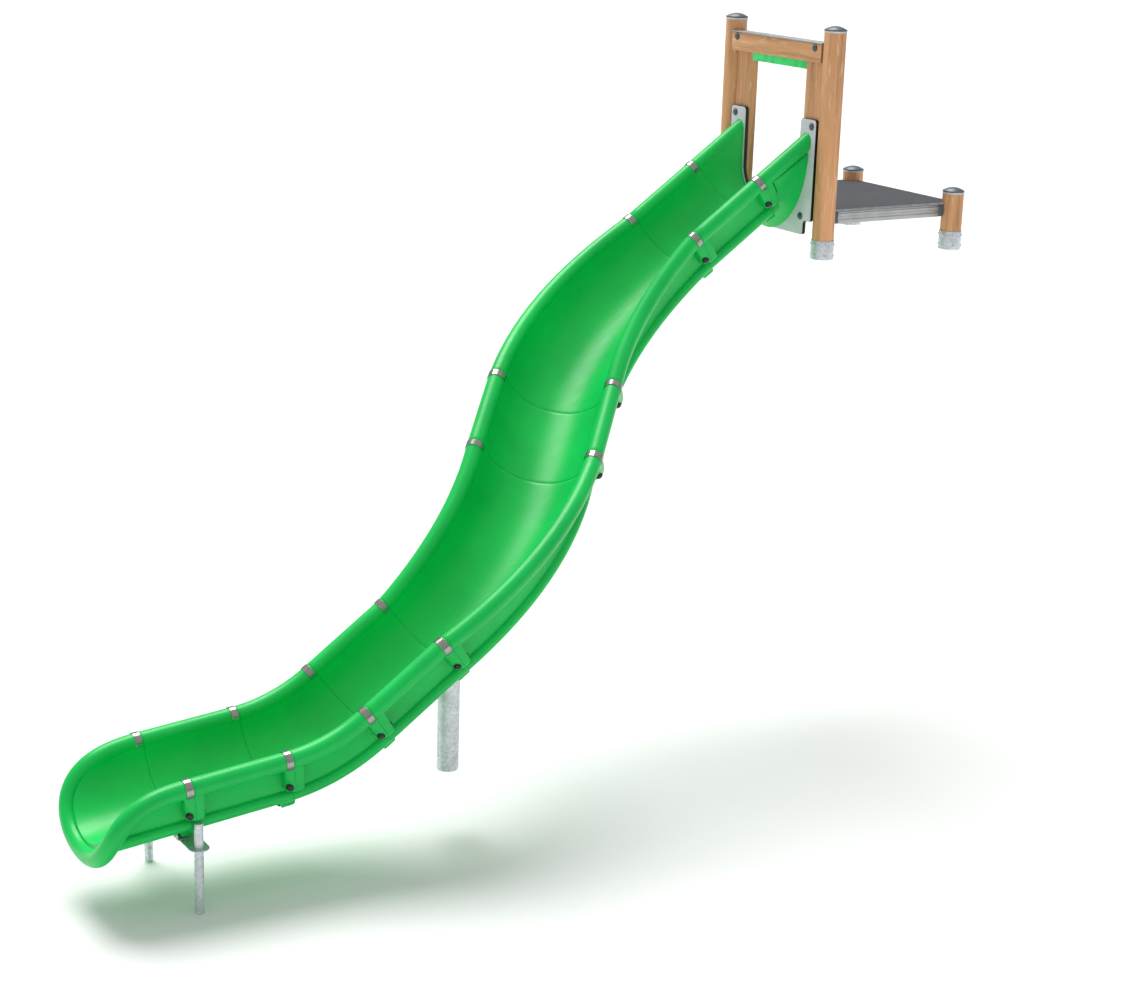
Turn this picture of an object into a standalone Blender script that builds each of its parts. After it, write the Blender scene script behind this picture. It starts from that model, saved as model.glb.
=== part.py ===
"""Embankment wave slide: a half-pipe chute in nine moulded sections, hung from a timber start frame.

+Z is up, +X runs from the far post to the near post and +Y runs uphill, away from the chute.
The origin is the centre of the near tall post's foot, on the upper ground. Lengths are metres.
"""

import math

import bmesh
import bpy
from mathutils import Matrix, Vector

GAP = 0.0003

# Start frame
POST_SPACING = 0.942
POST_RADIUS = 0.062
TALL_POST_TOP = 1.276
SHORT_POST_TOP = 0.339
FOOT_HEIGHT = 0.108
FOOT_RADIUS = 0.0655
FOOT_WALL = 0.0025
FOOT_FLOOR = 0.006
CAP_RADIUS = 0.0645
CAP_SKIRT = 0.014
CAP_WALL = 0.0015
CAP_DOME = 0.022
CAP_LIP = 0.0025
TIMBER_EDGE = 0.003
STRIP_EDGE = 0.001
PLATE_EDGE = 0.002
UPRIGHT_FRONT = -0.026
UPRIGHT_THICKNESS = 0.045
UPRIGHT_INNER = 0.259
UPRIGHT_OUTER = 0.407
UPRIGHT_BOTTOM = 0.215
BEAM_HALF_WIDTH = 0.427
BEAM_BOTTOM = 1.091
BEAM_TOP = 1.195
BEAM_THICKNESS = 0.034
BEAM_CAP_THICKNESS = 0.008
BEAM_CAP_OVERHANG = 0.003
SCRIBE_GAP = 0.001
INFILL_BOTTOM = 1.043
INFILL_THICKNESS = 0.019
INFILL_LAP = 0.020
PLATE_THICKNESS = 0.0215
PLATE_FACE = UPRIGHT_FRONT - PLATE_THICKNESS - 2 * GAP
# Rounded corners of the start panel's right half, as (lateral, height, radius)
PANEL_FLOOR = 0.268
PANEL_BOTTOM = 0.118
PANEL_THROAT = (0.083, PANEL_FLOOR + 0.180, 0.180)
PANEL_TOP_INNER = (0.289, 0.752, 0.022)
PANEL_TOP_OUTER = (0.387, 0.752, 0.022)
PANEL_SHOULDER = (0.391, 0.218, 0.018)
PANEL_NOTCH = (0.360, 0.180, 0.020)
PANEL_FOOT = (0.322, 0.136, 0.018)

# Deck
DECK_TOP = 0.278
DECK_THICKNESS = 0.016
DECK_FRAME_HEIGHT = 0.069
DECK_FRAME_WIDTH = 0.045
DECK_FRONT_WIDTH = 0.040
DECK_CAP_LENGTH = 0.036
DECK_EDGE = 0.003
DECK_POST_GAP = 0.004
DECK_NOTCH_GAP = 0.006

# Chute line, measured at the centre of the side rails
CHUTE_X = -POST_SPACING / 2
RAIL_HALF_SPACING = 0.325
RAIL_RADIUS = 0.0465
RAIL_START_HEIGHT = 0.6418
SLOPE = math.radians(35.08)
RUNOUT_SLOPE = math.radians(5.06)
STRAIGHT = 0.505
CURVE_RADIUS = 1.288
CURVE_ANGLE = math.radians(45)
DIP_RADIUS = 0.874
RUNOUT_STRAIGHT = 0.511
START_LENGTH = 0.3916
CLIP_OFFSET = 0.024
BELL_START = 0.060
EXIT_REACH = 0.387
EXIT_DROP = 0.370
EXIT_SPARE = 0.06
RIM_LEAD = 0.012
# Control points of half the exit rim, from the rail to the lip: run, lateral, height
RIM_CONTROLS = (
    (-CLIP_OFFSET, RAIL_HALF_SPACING, CLIP_OFFSET * math.tan(RUNOUT_SLOPE)),
    (0.182, RAIL_HALF_SPACING, -0.182 * math.tan(RUNOUT_SLOPE)),
    (0.375, 0.292, -0.052),
    (0.388, 0.396, -0.251),
    (EXIT_REACH, 0.198, -EXIT_DROP),
    (EXIT_REACH, 0.0, -EXIT_DROP),
)

# Chute cross-section
TROUGH_RADIUS = 0.280
TROUGH_RISE = 0.005
RAIL_CREASE = 0.009
WALL = ((0.309, -0.050), (0.288, -0.100), (0.277, -0.150))
BEAD_CENTRE = (0.270, -0.206)
BEAD_RADIUS = 0.032
UNDERSIDE = ((0.215, -0.254), (0.150, -0.274), (0.075, -0.288), (0.0, -0.292))

# Start section: half width, centre height and depth of its outer skin at the bell and at the mouth
BELL_SKIN = (0.350, -0.020, 0.278)
BELL_LEAD = 0.012
MOUTH_SKIN = (0.356, 0.600, 0.488)
MOUTH_FLOOR = 0.272
MOUTH_FLAT = 0.045
MOUTH_CORNER = 0.088
MOUTH_CORNER_RADIUS = 0.180
MOUTH_SIDE = (0.2785, RAIL_START_HEIGHT - 0.012)

# Each lug's inner lateral at its foot and top, outer lateral, heights, and half-lengths at its top and foot
SIDE_LUG = ((0.262, 0.284), 0.355, (-0.166, -0.030), (0.050, 0.026))
FOOT_LUG = ((0.152, 0.152), 0.224, (-0.297, -0.235), (0.045, 0.032))
LUG_ROUNDING = 0.018

# Joint clips
CLIP_WIDTH = 0.035
CLIP_THICKNESS = 0.0025
CLIP_INNER_RADIUS = 0.0487
CLIP_SPAN = (187, -45)

# Supports
LOWER_GROUND = -2.722
LEG_RADIUS = 0.02225
LEG_LATERAL = 0.328
LEG_BEHIND_JOINT = 0.056
LEG_TOP_BELOW_RAIL = 0.186
CROSS_PLATE_BELOW_RAIL = 0.314
CROSS_PLATE_HALF_WIDTH = 0.050
CROSS_PLATE_THICKNESS = 0.005
LEG_HOLE_CLEARANCE = 0.0012
SUPPORT_RADIUS = 0.057
SUPPORT_BEHIND_JOINT = 0.23
SUPPORT_GROUND = -2.40
SADDLE_TOP = 0.298
SADDLE_THICKNESS = 0.008
SADDLE_HALF_SIZE = (0.13, 0.10)
BRACKET_LATERAL = 0.188
BRACKET_WIDTH = 0.060
BRACKET_REACH = 0.064
BRACKET_HEIGHT = 0.031
BRACKET_BACK = 0.020

# Fineness of the bends and round stretches
BEND_STEP = 0.11
TROUGH_STEPS = 8
RAIL_STEPS = 8
BEAD_STEPS = 4
CLIP_STEPS = 14
RIM_STEPS = 18
THROAT_STEPS = 8
CORNER_STEPS = 3
LEG_SIDES = 16
ROUND_SIDES = 24

# How far cutters reach past what they cut
CUT_MARGIN = 0.05
CUT_REACH = 0.3

# Materials: name, colour, roughness, metallic
GREEN_PLASTIC = ("green_polyethylene", (0.0, 0.42, 0.08), 0.35, 0.0)
STAINLESS = ("stainless_steel", (0.60, 0.59, 0.58), 0.35, 1.0)
TIMBER = ("oiled_timber", (0.50, 0.22, 0.07), 0.55, 0.0)
GALVANISED = ("galvanised_steel", (0.52, 0.54, 0.56), 0.45, 0.9)
CAP_PLASTIC = ("dark_cap_plastic", (0.05, 0.08, 0.10), 0.45, 0.0)
GREY_PANEL = ("grey_panel", (0.55, 0.57, 0.58), 0.45, 0.0)
DECK_PANEL = ("deck_laminate", (0.05, 0.055, 0.07), 0.7, 0.0)
ALUMINIUM = ("aluminium", (0.62, 0.64, 0.65), 0.4, 1.0)


# Scene, materials and objects


def clear_scene():
    for obj in list(bpy.data.objects):
        bpy.data.objects.remove(obj, do_unlink=True)


def new_collection(name):
    collection = bpy.data.collections.new(name)
    bpy.context.scene.collection.children.link(collection)
    return collection


def get_material(settings):
    name, colour, roughness, metallic = settings
    material = bpy.data.materials.get(name)
    if material:
        return material
    material = bpy.data.materials.new(name)
    material.use_nodes = True
    shader = material.node_tree.nodes["Principled BSDF"]
    shader.inputs["Base Color"].default_value = (*colour, 1.0)
    shader.inputs["Roughness"].default_value = roughness
    shader.inputs["Metallic"].default_value = metallic
    return material


def add_object(name, data, settings=None):
    """Link a new part, or a guide or cutter when it has no material."""
    obj = bpy.data.objects.new(name, data)
    collection = PARTS if settings else HELPERS
    collection.objects.link(obj)
    if settings:
        data.materials.append(get_material(settings))
    else:
        obj.hide_render = True
        obj.display_type = "WIRE"
    return obj


def mesh_object(name, bm, settings=None):
    bmesh.ops.recalc_face_normals(bm, faces=bm.faces)
    mesh = bpy.data.meshes.new(name)
    bm.to_mesh(mesh)
    bm.free()
    mesh.shade_smooth()
    mesh.set_sharp_from_angle(angle=math.radians(35))
    return add_object(name, mesh, settings)


def curve_to_mesh(curve_object, settings=None):
    """Replace a curve object by the closed mesh that it makes."""
    bpy.context.view_layer.update()
    graph = bpy.context.evaluated_depsgraph_get()
    mesh = bpy.data.meshes.new_from_object(curve_object.evaluated_get(graph))
    bm = bmesh.new()
    bm.from_mesh(mesh)
    bmesh.ops.remove_doubles(bm, verts=bm.verts, dist=0.00001)
    matrix = curve_object.matrix_world.copy()
    name = curve_object.name
    bpy.data.objects.remove(curve_object, do_unlink=True)
    mesh_made = mesh_object(name, bm, settings)
    mesh_made.matrix_world = matrix
    return mesh_made


def boolean(target, operand, operation):
    modifier = target.modifiers.new(operand.name, "BOOLEAN")
    modifier.operation = operation
    modifier.object = operand
    modifier.solver = "EXACT"


# Basic solids


def box(name, low, high, settings=None, rounding=0.0):
    size = Vector(high) - Vector(low)
    bm = bmesh.new()
    bmesh.ops.create_cube(bm, size=1.0, matrix=Matrix.Diagonal((*size, 1.0)))
    obj = mesh_object(name, bm, settings)
    obj.location = (Vector(high) + Vector(low)) / 2
    if rounding:
        modifier = obj.modifiers.new("rounding", "BEVEL")
        modifier.width = rounding
        modifier.segments = 2
    return obj


def cylinder(name, radius, bottom, top, centre, settings=None, sides=ROUND_SIDES):
    bm = bmesh.new()
    bmesh.ops.create_cone(
        bm, cap_ends=True, segments=sides, radius1=radius, radius2=radius, depth=top - bottom
    )
    obj = mesh_object(name, bm, settings)
    obj.location = (centre[0], centre[1], (bottom + top) / 2)
    return obj


def turned(name, profile, location, settings=None, sides=ROUND_SIDES):
    """Turn a profile of (radius, height) points, listed down its outer side, about Z."""
    mesh = bpy.data.meshes.new(name)
    bm = bmesh.new()
    verts = [bm.verts.new((radius, 0, height)) for radius, height in profile]
    for start, end in zip(verts, verts[1:]):
        bm.edges.new((start, end))
    if profile[0][0] > 0:
        bm.edges.new((verts[-1], verts[0]))
    bm.to_mesh(mesh)
    bm.free()
    obj = add_object(name, mesh, settings)
    obj.location = location
    screw = obj.modifiers.new("turning", "SCREW")
    screw.steps = sides
    screw.render_steps = sides
    screw.use_merge_vertices = True
    screw.merge_threshold = 0.0001
    return obj


def arc(centre, radius, start, end, steps):
    """Points on an arc, angles in degrees from +X towards +Y."""
    points = []
    for step in range(steps + 1):
        angle = math.radians(start + (end - start) * step / steps)
        points.append((centre[0] + radius * math.cos(angle), centre[1] + radius * math.sin(angle)))
    return points


def outline_curve(name, loops, thickness=0.0, settings=None):
    """A flat outline in its own XY plane, with holes as further loops."""
    curve = bpy.data.curves.new(name, "CURVE")
    curve.dimensions = "2D"
    curve.fill_mode = "BOTH" if thickness else "NONE"
    curve.extrude = thickness / 2
    for loop in loops:
        spline = curve.splines.new("POLY")
        spline.points.add(len(loop) - 1)
        for point, (x, y) in zip(spline.points, loop):
            point.co = (x, y, 0, 1)
        spline.use_cyclic_u = True
    return add_object(name, curve, settings)


def loft(name, rings, settings=None):
    """A closed solid through rings of points that match one to one."""
    bm = bmesh.new()
    layers = [[bm.verts.new(point) for point in ring] for ring in rings]
    for first, second in zip(layers, layers[1:]):
        count = len(first)
        for index in range(count):
            following = (index + 1) % count
            bm.faces.new((first[index], first[following], second[following], second[index]))
    bm.faces.new(layers[0])
    bm.faces.new(layers[-1])
    return mesh_object(name, bm, settings)


def mirrored(half):
    """Close a half outline, listed from the centre line round to the centre line again."""
    other = [(-x, z) for x, z in reversed(half) if x > 1e-6]
    return half + other


# The chute's line


def chute_pieces():
    """Each stretch as (length along the slope, turn, slope at its start, slope at its end)."""
    curve_length = CURVE_RADIUS * CURVE_ANGLE / math.cos(SLOPE)
    dip_length = DIP_RADIUS * (SLOPE - RUNOUT_SLOPE)
    return [
        (START_LENGTH + STRAIGHT, 0.0, SLOPE, SLOPE),
        (curve_length, CURVE_ANGLE, SLOPE, SLOPE),
        (STRAIGHT, 0.0, SLOPE, SLOPE),
        (curve_length, -CURVE_ANGLE, SLOPE, SLOPE),
        (STRAIGHT, 0.0, SLOPE, SLOPE),
        (dip_length, 0.0, SLOPE, RUNOUT_SLOPE),
        (RUNOUT_STRAIGHT + 1.0, 0.0, RUNOUT_SLOPE, RUNOUT_SLOPE),
    ]


def joint_distances():
    """Distance down the chute line of the eight joints."""
    lengths = [length for length, _, _, _ in chute_pieces()]
    distances = [START_LENGTH]
    for length in (STRAIGHT, *lengths[1:6], RUNOUT_STRAIGHT):
        distances.append(distances[-1] + length)
    return distances


def move_along(position, heading, length, turn, slope_start, slope_end):
    """Position and heading after a stretch that turns in plan or bends in the slope."""
    x, y, z = position
    if turn:
        side = math.copysign(CURVE_RADIUS, turn)
        end = heading + turn
        x += side * (math.cos(heading) - math.cos(end))
        y += -side * (math.sin(end) - math.sin(heading))
        return (x, y, z - length * math.sin(SLOPE)), end
    if slope_start != slope_end:
        run = DIP_RADIUS * (math.sin(slope_start) - math.sin(slope_end))
        drop = DIP_RADIUS * (math.cos(slope_end) - math.cos(slope_start))
    else:
        run = length * math.cos(slope_start)
        drop = length * math.sin(slope_start)
    return (x + run * math.sin(heading), y - run * math.cos(heading), z - drop), heading


def chute_frame(distance):
    """Frame on the rail-centre line: X to the near side, Y uphill along the chute, Z out of the floor."""
    position = (CHUTE_X, PLATE_FACE, RAIL_START_HEIGHT)
    heading = 0.0
    left = distance
    slope = SLOPE
    for length, turn, slope_start, slope_end in chute_pieces():
        part = min(left, length)
        share = part / length
        slope = slope_start + (slope_end - slope_start) * share
        position, heading = move_along(position, heading, part, turn * share, slope_start, slope)
        left -= part
        if left <= 0:
            break
    level = Vector((math.sin(heading), -math.cos(heading), 0))
    forward = level * math.cos(slope) - Vector((0, 0, math.sin(slope)))
    lateral = Vector((math.cos(heading), math.sin(heading), 0))
    normal = forward.cross(lateral)
    rotation = Matrix((lateral, -forward, normal)).transposed()
    return Matrix.Translation(position) @ rotation.to_4x4()


def stations(start, end):
    """Distances at which a section's sweep has a point: at every change and along each bend.

    A bend's first step is short, so that the rails lie straight under their clips.
    """
    found = [start]
    passed = 0.0
    for length, turn, slope_start, slope_end in chute_pieces():
        low = max(start, passed)
        high = min(end, passed + length)
        if high > low:
            steps = 1
            if turn or slope_start != slope_end:
                low += 0.6 * CLIP_WIDTH
                found.append(low)
                steps = math.ceil((high - low) / BEND_STEP)
            found += [low + (high - low) * step / steps for step in range(1, steps + 1)]
        passed += length
    return found


# The chute's cross-section


def trough_half():
    """Inner surface from the floor's centre up to the rail, as (lateral, height)."""
    contact = -math.degrees(math.asin((TROUGH_RISE + RAIL_CREASE) / TROUGH_RADIUS))
    return arc((0, TROUGH_RISE), TROUGH_RADIUS, -90, contact, TROUGH_STEPS)


def rail_half():
    """Rolled side rail, from its inner contact over the top to its underside."""
    return arc((RAIL_HALF_SPACING, 0), RAIL_RADIUS, 188, -78, RAIL_STEPS)


def skin_half():
    """Outer wall under the rail, the bead along its foot and the underside to the centre."""
    bead = arc(BEAD_CENTRE, BEAD_RADIUS, 80, -105, BEAD_STEPS)
    return [*WALL, *bead, *UNDERSIDE]


def chute_profile():
    return mirrored(trough_half() + rail_half() + skin_half())


def ellipse_half(half_width, centre_height, depth):
    """Outer skin of the start section, with as many points as skin_half has."""
    count = len(skin_half())
    points = []
    for index in range(count):
        angle = math.radians(3 + 87 * index / (count - 1))
        lateral = half_width * math.cos(angle) if index < count - 1 else 0.0
        points.append((lateral, centre_height - depth * math.sin(angle)))
    return points


def in_frame(frame, points, along=0.0):
    return [frame @ Vector((lateral, along, height)) for lateral, height in points]


def sweep(name, profile, distances, settings):
    """Run a closed outline along the chute line, with a point at each distance.

    The outline's own +X ends up on the far side.
    """
    curve = bpy.data.curves.new(name, "CURVE")
    curve.dimensions = "3D"
    curve.twist_mode = "Z_UP"
    curve.resolution_u = 1
    curve.bevel_mode = "OBJECT"
    curve.bevel_object = profile
    curve.use_fill_caps = True
    spline = curve.splines.new("BEZIER")
    spline.bezier_points.add(len(distances) - 1)
    for index, (point, distance) in enumerate(zip(spline.bezier_points, distances)):
        frame = chute_frame(distance)
        back = distance - distances[max(index - 1, 0)]
        ahead = distances[min(index + 1, len(distances) - 1)] - distance
        uphill = frame.col[1].to_3d()
        point.handle_left_type = "FREE"
        point.handle_right_type = "FREE"
        point.co = frame.translation
        point.handle_left = frame.translation + uphill * (back or ahead) / 3
        point.handle_right = frame.translation - uphill * (ahead or back) / 3
    return curve_to_mesh(add_object(name, curve), settings)


# Chute sections


def tapered_block(frame, side, direction, inner, outer, height, lengths):
    """A block from a joint's plane outwards, as long at its top and at its foot as lengths says."""
    bm = bmesh.new()
    bmesh.ops.create_cube(bm, size=1.0)
    for vert in bm.verts:
        x, y, z = vert.co
        along = direction * (GAP / 2 if y < 0 else lengths[z < 0])
        lateral = outer if x > 0 else inner[z > 0]
        vert.co = (side * lateral, along, height[z > 0])
    foot = Vector((side * outer, 0, height[0]))
    edges = [
        edge
        for edge in bm.edges
        if all((vert.co - foot).xz.length < 1e-6 for vert in edge.verts)
    ]
    bmesh.ops.bevel(bm, geom=edges, offset=LUG_ROUNDING, segments=1, affect="EDGES")
    bm.transform(frame)
    mesh = bpy.data.meshes.new("lug")
    bm.to_mesh(mesh)
    bm.free()
    return mesh


def add_lugs(section, uphill_joint, downhill_joint):
    """Join the lug halves to a section's two ends; a distance of None means a plain end."""
    bm = bmesh.new()
    for joint, direction in ((uphill_joint, -1), (downhill_joint, 1)):
        if joint is None:
            continue
        for side in (-1, 1):
            for lug in (SIDE_LUG, FOOT_LUG):
                bm.from_mesh(tapered_block(chute_frame(joint), side, direction, *lug))
    lugs = mesh_object(section.name + "_lugs", bm)
    boolean(section, lugs, "UNION")


def build_start_section(seam):
    """The top section flares from the common profile to a deep bell against the start panel."""
    low = chute_frame(seam - GAP / 2)
    bell_frame = chute_frame(seam - BELL_START)
    common = chute_profile()
    bell = mirrored(trough_half() + rail_half() + ellipse_half(*BELL_SKIN))
    rail = [(x, RAIL_START_HEIGHT + z / math.cos(SLOPE)) for x, z in rail_half()]
    floor = [(0, MOUTH_FLOOR), (MOUTH_FLAT, MOUTH_FLOOR)]
    corner_place = (MOUTH_CORNER, MOUTH_FLOOR + MOUTH_CORNER_RADIUS)
    corner = arc(corner_place, MOUTH_CORNER_RADIUS, -90, 0, TROUGH_STEPS - 3)
    mouth_points = mirrored(floor + corner + [MOUTH_SIDE] + rail + ellipse_half(*MOUTH_SKIN))
    mouth = [Vector((CHUTE_X + x, PLATE_FACE, z)) for x, z in mouth_points]
    bell_ring = in_frame(bell_frame, bell)
    middle = [(first + second) / 2 for first, second in zip(bell_ring, mouth)]
    rings = [
        in_frame(low, common),
        in_frame(chute_frame(seam - BELL_START + BELL_LEAD), common),
        bell_ring,
        middle,
        mouth,
    ]
    section = loft("start_section", rings, GREEN_PLASTIC)
    add_lugs(section, None, seam)


def rim_point(share):
    """Half of the exit rim, from the rail (0) to the middle of the lip (1): run, lateral, height."""
    degree = len(RIM_CONTROLS) - 1
    point = Vector((0, 0, 0))
    for index, control in enumerate(RIM_CONTROLS):
        weight = math.comb(degree, index) * (1 - share) ** (degree - index) * share**index
        point += weight * Vector(control)
    return point


def rim_path(start, frame):
    """The whole rim from the near rail round the lip to the far rail, in world coordinates."""
    half = [rim_point(step / RIM_STEPS) for step in range(RIM_STEPS + 1)]
    near = [start + Vector((lateral, -run, height)) for run, lateral, height in half]
    far = [start + Vector((-lateral, -run, height)) for run, lateral, height in half[:-1]]
    path = near + far[::-1]
    downhill = -frame.col[1].to_3d()
    for end, side in ((0, 1), (-1, -1)):
        path[end] = frame @ Vector((side * RAIL_HALF_SPACING, -GAP / 2, 0))
    path.insert(1, path[0] + downhill * RIM_LEAD)
    path.insert(len(path) - 1, path[-1] + downhill * RIM_LEAD)
    return path


def build_exit_section(seam):
    """The last section: the trough is cut along a rolled rim that runs round the lip."""
    frame = chute_frame(seam)
    start = chute_frame(seam + CLIP_OFFSET).translation
    body = mirrored(trough_half() + [(RAIL_HALF_SPACING, 0.0)] + skin_half())
    rings = [in_frame(frame, body, -along) for along in (GAP / 2, EXIT_REACH + EXIT_SPARE)]
    section = loft("exit_section", rings, GREEN_PLASTIC)
    side_view = [rim_point(step / RIM_STEPS).xz for step in range(RIM_STEPS + 1)]
    far, low, high = EXIT_REACH + CUT_REACH, -EXIT_DROP - CUT_REACH, CUT_REACH
    beyond = [(EXIT_REACH, low), (far, low), (far, high), (-CLIP_OFFSET, high)]
    ahead = outline_curve("exit_cut", [[*side_view, *beyond]], 4 * CUT_REACH)
    axes = Matrix(((0, 0, -1), (-1, 0, 0), (0, 1, 0))).to_4x4()
    ahead.matrix_world = Matrix.Translation(start) @ axes
    boolean(section, curve_to_mesh(ahead), "DIFFERENCE")
    boolean(section, tube("exit_rim", rim_path(start, frame), RAIL_RADIUS), "UNION")
    add_lugs(section, seam, None)


def tube(name, path, radius, settings=None):
    curve = bpy.data.curves.new(name, "CURVE")
    curve.dimensions = "3D"
    curve.bevel_depth = radius
    curve.bevel_resolution = 4
    curve.use_fill_caps = True
    spline = curve.splines.new("POLY")
    spline.points.add(len(path) - 1)
    for point, position in zip(spline.points, path):
        point.co = (*position, 1)
    return curve_to_mesh(add_object(name, curve), settings)


def build_chute():
    seams = [distance - CLIP_OFFSET for distance in joint_distances()]
    names = [
        "upper_straight_section",
        "left_curve_section",
        "middle_straight_section",
        "right_curve_section",
        "lower_straight_section",
        "dip_section",
        "run_out_section",
    ]
    build_start_section(seams[0])
    profile = outline_curve("chute_profile", [chute_profile()])
    for name, start, end in zip(names, seams, seams[1:]):
        section = sweep(name, profile, stations(start + GAP / 2, end - GAP / 2), GREEN_PLASTIC)
        add_lugs(section, start, end)
    build_exit_section(seams[-1])


def build_clips():
    """A pressed band over each rail, just downhill of every joint."""
    outer = CLIP_INNER_RADIUS + CLIP_THICKNESS
    band = arc((RAIL_HALF_SPACING, 0), CLIP_INNER_RADIUS, *CLIP_SPAN, CLIP_STEPS)
    band += arc((RAIL_HALF_SPACING, 0), outer, *CLIP_SPAN[::-1], CLIP_STEPS)
    for side, word in ((1, "near"), (-1, "far")):
        profile = outline_curve(f"{word}_clip_profile", [[(-side * x, z) for x, z in band]])
        for number, distance in enumerate(joint_distances(), start=1):
            ends = [distance - CLIP_WIDTH / 2, distance, distance + CLIP_WIDTH / 2]
            sweep(f"rail_clip_{number}_{word}", profile, ends, STAINLESS)


# Start frame


def post_places():
    return {
        "near_tall": (0.0, 0.0, TALL_POST_TOP),
        "far_tall": (-POST_SPACING, 0.0, TALL_POST_TOP),
        "near_short": (0.0, POST_SPACING, SHORT_POST_TOP),
        "far_short": (-POST_SPACING, POST_SPACING, SHORT_POST_TOP),
    }


def foot_profile():
    """A steel sleeve with a floor, from the middle of its floor round to its underside."""
    inner = FOOT_RADIUS - FOOT_WALL
    return [
        (0, FOOT_FLOOR),
        (inner, FOOT_FLOOR),
        (inner, FOOT_HEIGHT),
        (FOOT_RADIUS, FOOT_HEIGHT),
        (FOOT_RADIUS, 0),
        (0, 0),
    ]


def cap_profile():
    """A shallow dome over a thin skirt, from its top round to its inside."""
    rise = CAP_DOME - CAP_LIP
    sphere = (CAP_RADIUS**2 + rise**2) / (2 * rise)
    edge = math.degrees(math.acos(CAP_RADIUS / sphere))
    dome = arc((0, CAP_DOME - sphere), sphere, 90, edge, 5)
    inner = CAP_RADIUS - CAP_WALL
    skirt = [(CAP_RADIUS, -CAP_SKIRT), (inner, -CAP_SKIRT), (inner, GAP), (0, GAP)]
    return [(0, CAP_DOME), *dome[1:], *skirt]


def build_posts():
    for word, (x, y, top) in post_places().items():
        cylinder(f"{word}_post", POST_RADIUS, FOOT_FLOOR + GAP, top, (x, y), TIMBER)
        turned(f"{word}_post_foot", foot_profile(), (x, y, 0), GALVANISED)
        turned(f"{word}_post_cap", cap_profile(), (x, y, top), CAP_PLASTIC)


def build_top_bar():
    back = UPRIGHT_FRONT + UPRIGHT_THICKNESS
    for side, word in ((1, "near"), (-1, "far")):
        low, high = sorted((CHUTE_X + side * UPRIGHT_INNER, CHUTE_X + side * UPRIGHT_OUTER))
        box(
            f"{word}_upright",
            (low, UPRIGHT_FRONT, UPRIGHT_BOTTOM),
            (high, back, BEAM_TOP),
            TIMBER,
            TIMBER_EDGE,
        )
    beam_back = UPRIGHT_FRONT - GAP
    beam_front = beam_back - BEAM_THICKNESS
    low, high = CHUTE_X - BEAM_HALF_WIDTH, CHUTE_X + BEAM_HALF_WIDTH
    beam = box(
        "top_beam",
        (low, beam_front, BEAM_BOTTOM),
        (high, beam_back, BEAM_TOP - GAP),
        TIMBER,
        TIMBER_EDGE,
    )
    lap = BEAM_CAP_OVERHANG
    capping = box(
        "top_beam_capping",
        (low - lap, beam_front - lap, BEAM_TOP + GAP),
        (high + lap, back, BEAM_TOP + BEAM_CAP_THICKNESS),
        ALUMINIUM,
        STRIP_EDGE,
    )
    scribe_span = (BEAM_BOTTOM - CUT_MARGIN, BEAM_TOP + CUT_MARGIN)
    for word in ("near_tall", "far_tall"):
        x, y, _ = post_places()[word]
        scribe = cylinder(f"{word}_scribe", POST_RADIUS + SCRIBE_GAP, *scribe_span, (x, y))
        boolean(beam, scribe, "DIFFERENCE")
        boolean(capping, scribe, "DIFFERENCE")
    infill = UPRIGHT_INNER - GAP
    box(
        "head_infill_panel",
        (CHUTE_X - infill, UPRIGHT_FRONT + GAP, INFILL_BOTTOM),
        (CHUTE_X + infill, UPRIGHT_FRONT + INFILL_THICKNESS, BEAM_TOP - INFILL_LAP),
        GREEN_PLASTIC,
        PLATE_EDGE,
    )


def panel_half():
    """Right half of the U-shaped start panel, from the cut-out's floor round to the bottom edge."""
    points = [(0, PANEL_FLOOR)]
    for (x, z, radius), start, end, steps in (
        (PANEL_THROAT, -90, 0, THROAT_STEPS),
        (PANEL_TOP_INNER, 180, 90, CORNER_STEPS),
        (PANEL_TOP_OUTER, 90, 0, CORNER_STEPS),
        (PANEL_SHOULDER, 0, -90, CORNER_STEPS),
        (PANEL_NOTCH, 90, 180, CORNER_STEPS),
        (PANEL_FOOT, 0, -90, CORNER_STEPS),
    ):
        points += arc((x, z), radius, start, end, steps)
    return [*points, (0, PANEL_BOTTOM)]


def build_start_panel():
    panel = outline_curve("start_panel", [mirrored(panel_half())], PLATE_THICKNESS, GREY_PANEL)
    panel.location = (CHUTE_X, UPRIGHT_FRONT - GAP - PLATE_THICKNESS / 2, 0)
    panel.rotation_euler = (math.radians(90), 0, 0)


# Deck


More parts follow.
